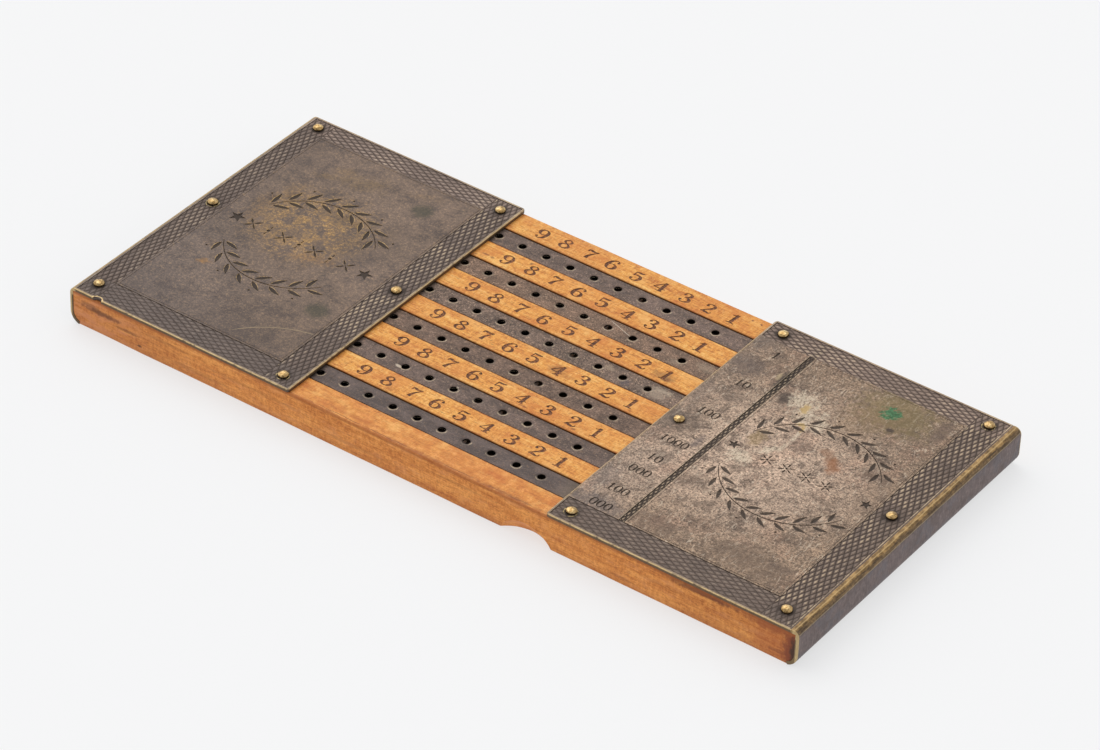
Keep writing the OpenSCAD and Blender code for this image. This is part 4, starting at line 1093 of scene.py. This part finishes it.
def cover_shell(name, left, mat):
    """The bent sheet, lofted across its width, with rounded and slightly uneven edges."""
    ln = 67.35 if left else 69.65
    x_in = HL - ln

    def profile(r_in):
        """Right-hand profile in x, z, anticlockwise from the inner lower edge."""
        p = [(x_in + r_in, BT)]
        xs = np.linspace(x_in + r_in, WALLX - 0.01, 14)[1:]
        p += [(x, BT) for x in xs] + [(WALLX, BT - 0.05)]
        p += [(WALLX, z) for z in np.linspace(BT - 0.05, ENDR, 5)[1:]]
        c = HL - ENDR
        p += [(c + (ENDR - CT) * math.cos(math.radians(a)), ENDR + (ENDR - CT) * math.sin(math.radians(a))) for a in np.linspace(0, -75, 9)[1:]]
        p += [(c + ENDR * math.cos(math.radians(a)), ENDR + ENDR * math.sin(math.radians(a))) for a in np.linspace(-75, 0, 10)]
        p += [(HL, z) for z in np.linspace(ENDR, TOP - BENDR, 5)[1:]]
        p += [(HL - BENDR + BENDR * math.cos(math.radians(a)), TOP - BENDR + BENDR * math.sin(math.radians(a))) for a in np.linspace(0, 90, 9)[1:]]
        if left:
            p += [(x, TOP) for x in np.linspace(HL - BENDR, x_in + r_in + 0.22, 14)[1:]]
        else:
            p += [(103.86, TOP - 0.005), (103.72, TOP - 0.09), (103.55, TOP - 0.09), (103.42, TOP)]
            p += [(x, TOP) for x in np.linspace(103.42, x_in + r_in + 0.22, 11)[1:]]
        p += [(x_in + r_in + 0.065, TOP - 0.065), (x_in + r_in, TOP - 0.22)]
        return p

    base = profile(0)
    n = len(base)

    def offset(P, d):
        if d < 1e-6:
            return P
        out = []
        for k in range(n):
            a, b, c = np.array(P[k - 1]), np.array(P[k]), np.array(P[(k + 1) % n])
            t1, t2 = b - a, c - b
            t1 /= max(np.linalg.norm(t1), 1e-9)
            t2 /= max(np.linalg.norm(t2), 1e-9)
            n1, n2 = np.array([t1[1], -t1[0]]), np.array([t2[1], -t2[0]])
            m = n1 + n2
            L = np.linalg.norm(m)
            m = n1 if L < 1e-6 else m / L
            cosv = max(0.5, float(m @ n1))
            q = b - m * d / cosv
            out.append(tuple(q))
        return out

    # orientation: make sure that offset goes inward
    area = sum(base[k][0] * base[(k + 1) % n][1] - base[(k + 1) % n][0] * base[k][1] for k in range(n))
    sign = 1 if area > 0 else -1
    er = 0.22
    st = []
    for a in (0, 25, 50, 75, 90):
        st.append((HW - er + er * math.sin(math.radians(a)), er * (1 - math.cos(math.radians(a)))))
    cr = 0.9
    inner = [(y, 0.0) for y in np.linspace(-(HW - cr), HW - cr, 110)]
    mid = [(HW - cr + cr * q, 0.0) for q in (0.25, 0.45, 0.62) if HW - cr + cr * q < HW - er]
    half = mid + st
    stations = [(-y, d) for y, d in reversed(half)] + inner + half
    rings = []
    for y, d in stations:
        over = max(0.0, abs(y) - (HW - cr))
        r_in = cr - math.sqrt(max(0.0, cr * cr - min(over, cr) ** 2)) if over > 0 else 0.0
        r_in = min(r_in, cr * 0.8)
        P = offset(profile(r_in), d * sign)
        ring = []
        for x, z in P:
            q = 0.0
            # the sheet's free edges wave a very little; always inward, so the box is kept
            wx = 0.0
            if x < x_in + 0.5:
                wx = abs(wavy(y, 3 if left else 4, 0.08))
            if z > BT + 0.4 and x > HL - BENDR - 0.3:
                q -= abs(wavy(y, 6, 0.10, 0.22)) * 0.6
            ring.append((x + wx, y, z + (min(q, 0) if z > BT + 0.5 else 0)))
        rings.append(ring)
    v, f = loft(rings)
    if left:
        v = [(-x, y, z) for x, y, z in v]
    return new_obj(name, v, f, (mat,), [0] * len(f))


def star(cx, cy, r, rot=90, inner=0.4):
    return [(cx + (r if k % 2 == 0 else r * inner) * math.cos(math.radians(rot + 36 * k)), cy + (r if k % 2 == 0 else r * inner) * math.sin(math.radians(rot + 36 * k))) for k in range(10)]


def leaf(soup, cx, cy, ang, ln, wd, z0, z1, bend=0.0):
    """A punched leaf: a pointed stroke with a slight bend."""
    c, s = math.cos(math.radians(ang)), math.sin(math.radians(ang))
    pts, w = [], []
    for k in range(9):
        t = k / 8
        x = (t - 0.5) * ln
        y = bend * (4 * (t - 0.5) ** 2 - 1)
        pts.append((cx + x * c - y * s, cy + x * s + y * c))
        w.append(max(0.04, wd * math.sin(math.pi * min(0.97, max(0.03, t ** 0.8)))))
    soup.ribbon(pts, w, z0, z1, taper=0.35)


def wreath(soup, cx, cy, R, a0, a1, count, z0, z1, size, rng):
    """A sprig along an arc: a stem with paired leaves and berries."""
    pts = [(cx + R * math.cos(math.radians(a)), cy + R * math.sin(math.radians(a))) for a in np.linspace(a0, a1, 40)]
    w = [0.30 + 0.24 * math.sin(math.pi * k / 39) for k in range(40)]
    soup.ribbon(pts, w, z0, z1, taper=0.35)
    sgn = 1 if a1 > a0 else -1
    for k in range(count):
        a = a0 + (a1 - a0) * (k + 0.5) / count
        ar = math.radians(a)
        for side in (1, -1):
            rr = R + side * size * 0.44
            aa = a + sgn * 1.2
            x, y = cx + rr * math.cos(math.radians(aa)), cy + rr * math.sin(math.radians(aa))
            tang = a + 90 * sgn
            leaf(soup, x + rng.uniform(-0.1, 0.1), y + rng.uniform(-0.1, 0.1), tang - side * sgn * 38, size * 0.98, size * 0.53, z0, z1, 0.14 * side)
        if k % 2 == 0:
            rr = R + size * 0.95
            soup.lathe([(0.26, z0), (0.36, z1)], cx + rr * math.cos(ar), cy + rr * math.sin(ar), 12)


def build_cover(left, mat):
    rng = random.Random(11 if left else 23)
    name = "left_cover_visual" if left else "right_cover_visual"
    ob = cover_shell(name, left, mat)
    pins = LP if left else RP
    D = 0.15
    fz = TOP - D
    z1 = TOP + 0.2
    s = Soup()
    if left:
        xo0, xi0, xi1, xo1 = -104.15, -97.95, -46.85, LX1 - 0.62
        yo0, yi0, yi1, yo1 = -HW + 0.6, -39.7, 40.85, HW - 0.6
        bands = [(xo0, xi0, yo0, yo1, "v"), (xi1, xo1, yo0, yo1, "v"), (xi0, xi1, yi1, yo1, "h"), (xi0, xi1, yo0, yi0, "h")]
    else:
        xo0, xi0, xi1, xo1 = RX0 + 0.62, RX0 + 0.62, 95.4, 103.2
        yo0, yi0, yi1, yo1 = -HW + 0.6, -39.2, 40.3, HW - 0.6
        bands = [(xi1, xo1, yo0, yo1, "v"), (xo0, xi1, yi1, yo1, "h"), (xo0, xi1, yo0, yi0, "h"), (50.9, 52.5, yi0, yi1, "d")]
    # each band is sunk, and its diamonds stand in it
    s.rects([b[:4] for b in bands], fz, z1)
    boolean(ob, s.obj("c_bands", (mat,)), "DIFFERENCE", False)
    s = Soup()
    # fine line inside the bands
    lw = 0.16
    if left:
        fx0, fx1 = xi0 + 0.55, xi1 - 0.55
    else:
        fx0, fx1 = 53.0, xi1 - 0.55
    fy0, fy1 = yi0 + 0.55, yi1 - 0.55
    zl = TOP - 0.07
    s.rects([(fx0, fx1, fy0, fy0 + lw * 0.7), (fx0, fx1, fy1 - lw * 0.7, fy1), (fx0, fx0 + lw * 0.7, fy0, fy1), (fx1 - lw * 0.7, fx1, fy0, fy1)], zl, z1)
    zo = TOP - 0.14
    if left:
        cx, cy = -73.3, 0.7
        wreath(s, cx, cy, 18.6, 152, 32, 9, zo, z1, 4.6, rng)
        wreath(s, cx, cy, 18.6, 212, 325, 8, zo, z1, 4.4, rng)
        for sx in (-92.6, -53.0):
            s.prism(star(sx, 0.5, 2.3), zo, z1)
        # middle row: lozenges and ringed dots
        for k in range(7):
            x = cx - 14.4 + k * 4.8
            if k % 2 == 0:
                for t in (45, 135, 225, 315):
                    leaf(s, x + 1.42 * math.cos(math.radians(t)), cy - 0.2 + 1.42 * math.sin(math.radians(t)), t, 2.3, 1.0, zo, z1)
                s.lathe([(0.16, zo), (0.2, z1)], x, cy - 0.2, 12)
            else:
                s.lathe([(0.42, zo), (0.5, z1)], x, cy - 0.2, 16)
                for t in (90, 270):
                    leaf(s, x, cy - 0.2 + (1.5 if t == 90 else -1.5), t, 1.5, 0.5, zo, z1)
    else:
        cx, cy = 74.3, 0.6
        wreath(s, cx, cy, 18.9, 158, 28, 10, zo, z1, 4.1, rng)
        wreath(s, cx, cy, 18.9, 206, 334, 10, zo, z1, 4.0, rng)
        for sx in (55.9, 92.6):
            s.prism(star(sx, 0.5, 1.75), zo, z1)
        for k in range(4):
            x = cx - 9.0 + k * 5.4
            s.lathe([(0.30, zo), (0.36, z1)], x, cy - 0.2, 14)
            for q in range(6):
                a = math.radians(60 * q + 30)
                leaf(s, x + 1.35 * math.cos(a), cy - 0.2 + 1.35 * math.sin(a), 60 * q + 30, 1.75, 0.72, zo, z1)
        # place values beside the columns
        rows = [["1"], ["10"], ["100"], ["1000"], ["10", "000"], ["100", "000"]]
        cys = [35.6, 21.3, 6.9, -7.3, None, None]
        two = {4: (-15.2, -21.3), 5: (-30.1, -37.0)}
        for i, lines in enumerate(rows):
            yy = [cys[i]] if cys[i] is not None else list(two[i])
            for line, yl in zip(lines, yy):
                h = 2.7 if len(line) < 4 or len(lines) == 2 else 2.6
                adv = h * 0.74
                x0 = 44.4 - adv * (len(line) - 1) / 2
                for q, ch in enumerate(line):
                    def place(x, y, ox=x0 + q * adv, oy=yl):
                        return ox + x, oy + y
                    glyph(s, ch, place, h, TOP - 0.13, z1, 0, bold=1.25, slant=0.05, wide=1.1)
    for px, py in pins:
        s.lathe([(0.62, BT - 1), (0.62, z1)], px, py, 24)
    if left:
        # a nick in the near edge
        s.lathe([(1.15, BT - 0.5), (1.45, z1)], -97.4, -HW - 0.40, 20)
    boolean(ob, s.obj("c_eng", (mat,)), "DIFFERENCE", False)
    shade(ob, 32)
    # the diamonds
    s = Soup()
    for q, (x0, x1, y0, y1, kind) in enumerate(bands):
        if kind == "v":
            px, py = 1.47, 3.1
        elif kind == "h":
            px, py = 3.05, 1.5
        else:
            px, py = 1.05, 2.3
        if kind == "d":
            lattice(s, x0 + 0.12, x1 - 0.12, y0, y1, px, py, fz, TOP - 0.012, pins, rng, 31.0 + q, 0.1)
        else:
            lattice(s, x0, x1, y0, y1, px, py, fz, TOP - 0.004, pins, rng, (3.0 if left else 17.0) + q, 0.045, 0.82 if y1 < 0 else 1.0)
    cells = s.obj("cells", (mat,), 62)
    bm = bmesh.new()
    bm.from_mesh(ob.data)
    bm2 = bmesh.new()
    bm2.from_mesh(cells.data)
    tmp = bpy.data.meshes.new("t")
    bm2.to_mesh(tmp)
    bm.from_mesh(tmp)
    bm.to_mesh(ob.data)
    bm.free()
    bm2.free()
    bpy.data.meshes.remove(tmp)
    drop(cells)
    ob.name = name
    return to_metres(ob)


def build_pins(name, pts, mat, seed):
    rng = random.Random(seed)
    s = Soup()
    for px, py in pts:
        R = 1.5 * rng.uniform(0.94, 0.985)
        H = 1.05
        tx, ty = rng.uniform(-0.05, 0.05), rng.uniform(-0.05, 0.05)
        ax = rng.uniform(0, 6.28)
        el = rng.uniform(0.94, 1.0)
        fl = rng.uniform(0.86, 0.95)
        nz = rng.uniform(0, 50)
        facets = []
        for k in range(9):
            t, u = rng.uniform(0, 2 * math.pi), rng.uniform(0.15, 1.05)
            facets.append((Vector((math.sin(u) * math.cos(t), math.sin(u) * math.sin(t), math.cos(u))), rng.uniform(0.92, 0.98)))

        def fn(x, y, z, tx=tx, ty=ty, ax=ax, el=el, nz=nz, facets=facets, R=R, fl=fl):
            if z > TOP + 0.12:
                hz = H * fl
                q = Vector((x / R, y / R, (z - TOP) / hz))
                for nn, dd in facets:
                    over = q.dot(nn) - dd
                    if over > 0:
                        q = q - nn * over
                x, y, z = q.x * R, q.y * R, TOP + max(0.1, q.z * hz)
            if z > TOP - 0.01:
                c, s_ = math.cos(ax), math.sin(ax)
                u, w = x * c + y * s_, (-x * s_ + y * c) * el
                x, y = u * c - w * s_, u * s_ + w * c
                k = 1 + 0.035 * mnoise.noise(Vector((x * 1.3 + nz, y * 1.3, z)))
                x, y = x * k, y * k
                z = TOP + (z - TOP) * 0.97 + (x * tx + y * ty) * min(1.0, (z - TOP) * 2.2)
            return x, y, max(z, 0)
        prof = [(0.0, BT - 6.9), (0.3, BT - 6.5), (0.52, BT - 5.9), (0.53, TOP + 0.001), (R * 0.93, TOP + 0.002), (R, TOP + 0.07), (R * 0.985, TOP + 0.17)]
        for k in range(1, 15):
            a = math.radians(90 * k / 14)
            prof.append((R * 0.985 * math.cos(a) ** 0.9 if k < 14 else 0.0, TOP + 0.17 + (H * fl - 0.17) * math.sin(a)))
        s.lathe(prof, px, py, 48, 0, fn)
    ob = s.obj(name, (mat,), 50)
    return to_metres(ob)


def build_slide(i, mat):
    rng = random.Random(100 + i)
    y = ROW[i]
    zb, zt = S_TOP - ST, S_TOP
    hw = SW / 2
    ch = hw - 1.1
    web = zt - 0.5
    rings = []
    xs = list(np.linspace(S_X0, S_X1, 60))
    for q, x in enumerate(xs):
        e = 0.0
        if q in (0, len(xs) - 1):
            e = 0.08
        w = hw - e - abs(wavy(x, 20 + i, 0.05, 0.05))
        t = zt - e - abs(wavy(x, 30 + i, 0.02, 0.04))
        r = 0.24
        ring = [(y - w, zb + r), (y - w, t - r), (y - w + r * 0.3, t - r * 0.3), (y - w + r, t)]
        ring += [(y - w + r + (2 * w - 2 * r) * k / 6, t) for k in range(1, 6)]
        ring += [(y + w - r, t), (y + w - r * 0.3, t - r * 0.3), (y + w, t - r), (y + w, zb + r), (y + w - r * 0.3, zb + r * 0.3), (y + w - r, zb)]
        ring += [(y + ch + 0.12, zb), (y + ch, zb + 0.1), (y + ch, web), (y - ch, web), (y - ch, zb + 0.1), (y - ch - 0.12, zb), (y - w + r, zb), (y - w + r * 0.3, zb + r * 0.3)]
        rings.append([(x, a, b) for a, b in ring])
    v, f = loft(rings)
    ob = new_obj("slide_%s_visual" % COLS[i], v, f, (mat,), [0] * len(f))
    s = Soup()
    for k in range(18):
        cx = HOLE1 - k * HP + rng.uniform(-0.04, 0.04)
        cy = y + rng.uniform(-0.05, 0.05)
        s.lathe([(1.0, web - 0.3), (1.0, zt - 0.09), (1.05, zt - 0.04), (1.15, zt + 0.01), (1.3, zt + 0.12)], cx, cy, 32)
    # a fine scribed line where the second set of holes begins
    s.ribbon([(-34.4 + rng.uniform(-0.2, 0.2), y - 3.6), (-34.4, y), (-34.4, y + 3.6)], [0.14, 0.12, 0.14], zt - 0.05, zt + 0.2, taper=0.3)
    boolean(ob, s.obj("c_holes", (mat,)), "DIFFERENCE", False)
    shade(ob, 35)
    return to_metres(ob)


def build_numerals(i, paper, ink):
    y = ROW[i]
    z1 = S_TOP - 0.5
    z0 = z1 - 0.15
    rng = random.Random(200 + i)
    s = Soup()
    x0, x1 = SIGHT_X - 9 * HP - 4, SIGHT_X + 4
    s.box(x0, x1, y - 2.1, y + 2.1, z0, z1)
    ob = s.obj("numerals_%s_visual" % COLS[i], (paper, ink))
    s = Soup()
    for k in range(18):
        cx = HOLE1 - k * HP
        if x0 - 1 < cx < x1 + 1:
            s.lathe([(1.15, z0 - 1), (1.15, z1 + 1)], cx, y, 32)
    boolean(ob, s.obj("c_p", (paper, ink)))
    # printed numerals: their tops point along +X, and they read towards +Y from below
    s = Soup()
    for d in range(10):
        cx = SIGHT_X - d * HP

        def place(a, b, cx=cx):
            return cx + b, y + a
        glyph(s, str(d), place, 3.2, z0 - 0.006, z0 + 0.02, 1, bold=1.12, slant=0.0, wide=1.15)
    inkob = s.obj("ink", (paper, ink))
    bm = bmesh.new()
    bm.from_mesh(ob.data)
    bm.from_mesh(inkob.data)
    bm.to_mesh(ob.data)
    bm.free()
    drop(inkob)
    shade(ob, 30)
    return to_metres(ob)


WOOD, INK = wood_material(), ink_material()
LEFT, RIGHT = cover_material("left_cover_patina", True), cover_material("right_cover_patina", False)
PIN, PAPER, BINK, SPRING = brass_pin_material(), paper_material(), black_ink(), spring_material()

ob = build_board(WOOD, INK)
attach(ob, "base"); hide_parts("wooden_base")
for left, mat, nm in ((True, LEFT, "left_cover"), (False, RIGHT, "right_cover")):
    ob = build_cover(left, mat)
    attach(ob, "base"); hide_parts(nm)
    ob = build_pins(nm + "_pins_visual", LP if left else RP, PIN, 5 if left else 6)
    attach(ob, "base"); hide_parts(nm + "_pins")
for i, c in enumerate(COLS):
    ob = build_slide(i, slide_material(i))
    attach(ob, "slide_%s_body" % c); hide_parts("slide_" + c)
    ob = build_numerals(i, PAPER, BINK)
    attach(ob, "slide_%s_body" % c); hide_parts("numerals_" + c)
    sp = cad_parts["spring_" + c]
    sp.data.materials.clear()
    sp.data.materials.append(SPRING)

# ---------------------------------------------------------------- floor, light, camera
F = Mat("pale_floor")
F.set(Base_Color=(0.28, 0.28, 0.281), Roughness=0.9)
F.b.inputs["Emission Color"].default_value = (0.992, 0.995, 1.0, 1)
F.b.inputs["Emission Strength"].default_value = 0.643
F.b.inputs["Specular IOR Level"].default_value = 0.1
# open where the board covers it, so that the underside can be looked at
fx, fy0, fy1 = 0.1024, -0.0467, 0.0464
me = bpy.data.meshes.new("floor")
fv, ff = [], []
for x0, x1, y0, y1 in ((-6, 6, -6, fy0), (-6, 6, fy1, 6), (-6, -fx, fy0, fy1), (fx, 6, fy0, fy1)):
    ff.append(tuple(range(len(fv), len(fv) + 4)))
    fv += [(x0, y0, 0), (x1, y0, 0), (x1, y1, 0), (x0, y1, 0)]
# and closed under the finger notch
nc, nr = (0.0307, (Y0 - 6.88) / 1000), 0.01028
a0 = math.asin((fy0 - nc[1]) / nr)
ff.append(tuple(range(len(fv), len(fv) + 17)))
fv += [(nc[0] + nr * math.cos(a0 + (math.pi - 2 * a0) * k / 16), nc[1] + nr * math.sin(a0 + (math.pi - 2 * a0) * k / 16), 0) for k in range(17)]
me.from_pydata(fv, [], ff)
me.materials.append(F.m)
floor = bpy.data.objects.new("floor", me)
scene.collection.objects.link(floor)

world = bpy.data.worlds.new("studio")
scene.world = world
world.use_nodes = True
wn = world.node_tree
wn.nodes.clear()
wo = wn.nodes.new("ShaderNodeOutputWorld")
bg = wn.nodes.new("ShaderNodeBackground")
tcw = wn.nodes.new("ShaderNodeTexCoord")


def glow(direction, c0, c1, amount):
    """A soft patch of the light tent, brighter or darker than the rest."""
    dot = wn.nodes.new("ShaderNodeVectorMath")
    dot.operation = "DOT_PRODUCT"
    dot.inputs[1].default_value = Vector(direction).normalized()
    mr = wn.nodes.new("ShaderNodeMapRange")
    mr.interpolation_type = "SMOOTHSTEP"
    for k, v in enumerate((c0, c1, 0.0, amount)):
        mr.inputs[k + 1].default_value = v
    wn.links.new(tcw.outputs["Generated"], dot.inputs[0])
    wn.links.new(dot.outputs["Value"], mr.inputs[0])
    return mr.outputs[0]


total = None
for g in (glow((-0.70, 0.30, 0.66), 0.72, 0.96, 0.75), glow((0.45, -0.66, 0.60), 0.70, 0.96, -0.5)):
    ad = wn.nodes.new("ShaderNodeMath")
    ad.operation = "ADD"
    wn.links.new(g, ad.inputs[0])
    if total is None:
        ad.inputs[1].default_value = 0.87
    else:
        wn.links.new(total, ad.inputs[1])
    total = ad.outputs[0]
wn.links.new(total, bg.inputs[1])
bg.inputs[0].default_value = (0.985, 0.99, 1.0, 1)
wn.links.new(bg.outputs[0], wo.inputs[0])


def sun(direction, strength, angle, color=(1, 1, 1)):
    l = bpy.data.lights.new("sun", "SUN")
    l.energy = strength
    l.angle = math.radians(angle)
    l.color = color
    o = bpy.data.objects.new("sun", l)
    o.rotation_euler = Vector(direction).to_track_quat("Z", "Y").to_euler()
    scene.collection.objects.link(o)
    return o


sun((-0.5, 0.35, 1.1), 0.30, 40, (1, 0.985, 0.96))

cam = bpy.data.cameras.new("camera")
cam.sensor_fit = "HORIZONTAL"
cam.sensor_width = 36
cam.lens = 4860.461 / 1100 * 36
cam.clip_start, cam.clip_end = 0.01, 20
co = bpy.data.objects.new("camera", cam)
Rm = ((0.8098538886506756, 0.5857223266797658, 0.03265019243773151),
      (0.37306027639779227, -0.471264204539964, -0.7992096594094182),
      (-0.45272807424698314, 0.6594235403351607, -0.6001648817120686))
Cm = (0.5289729349786246, -0.7656013886098659, 0.7032582631749995)
co.matrix_world = Matrix(((Rm[0][0], -Rm[1][0], -Rm[2][0], Cm[0]), (Rm[0][1], -Rm[1][1], -Rm[2][1], Cm[1]), (Rm[0][2], -Rm[1][2], -Rm[2][2], Cm[2]), (0, 0, 0, 1)))
scene.collection.objects.link(co)
scene.camera = co
scene.view_settings.view_transform = "Standard"
scene.view_settings.look = "None"
scene.view_settings.exposure = 0.0
scene.view_settings.gamma = 1.0
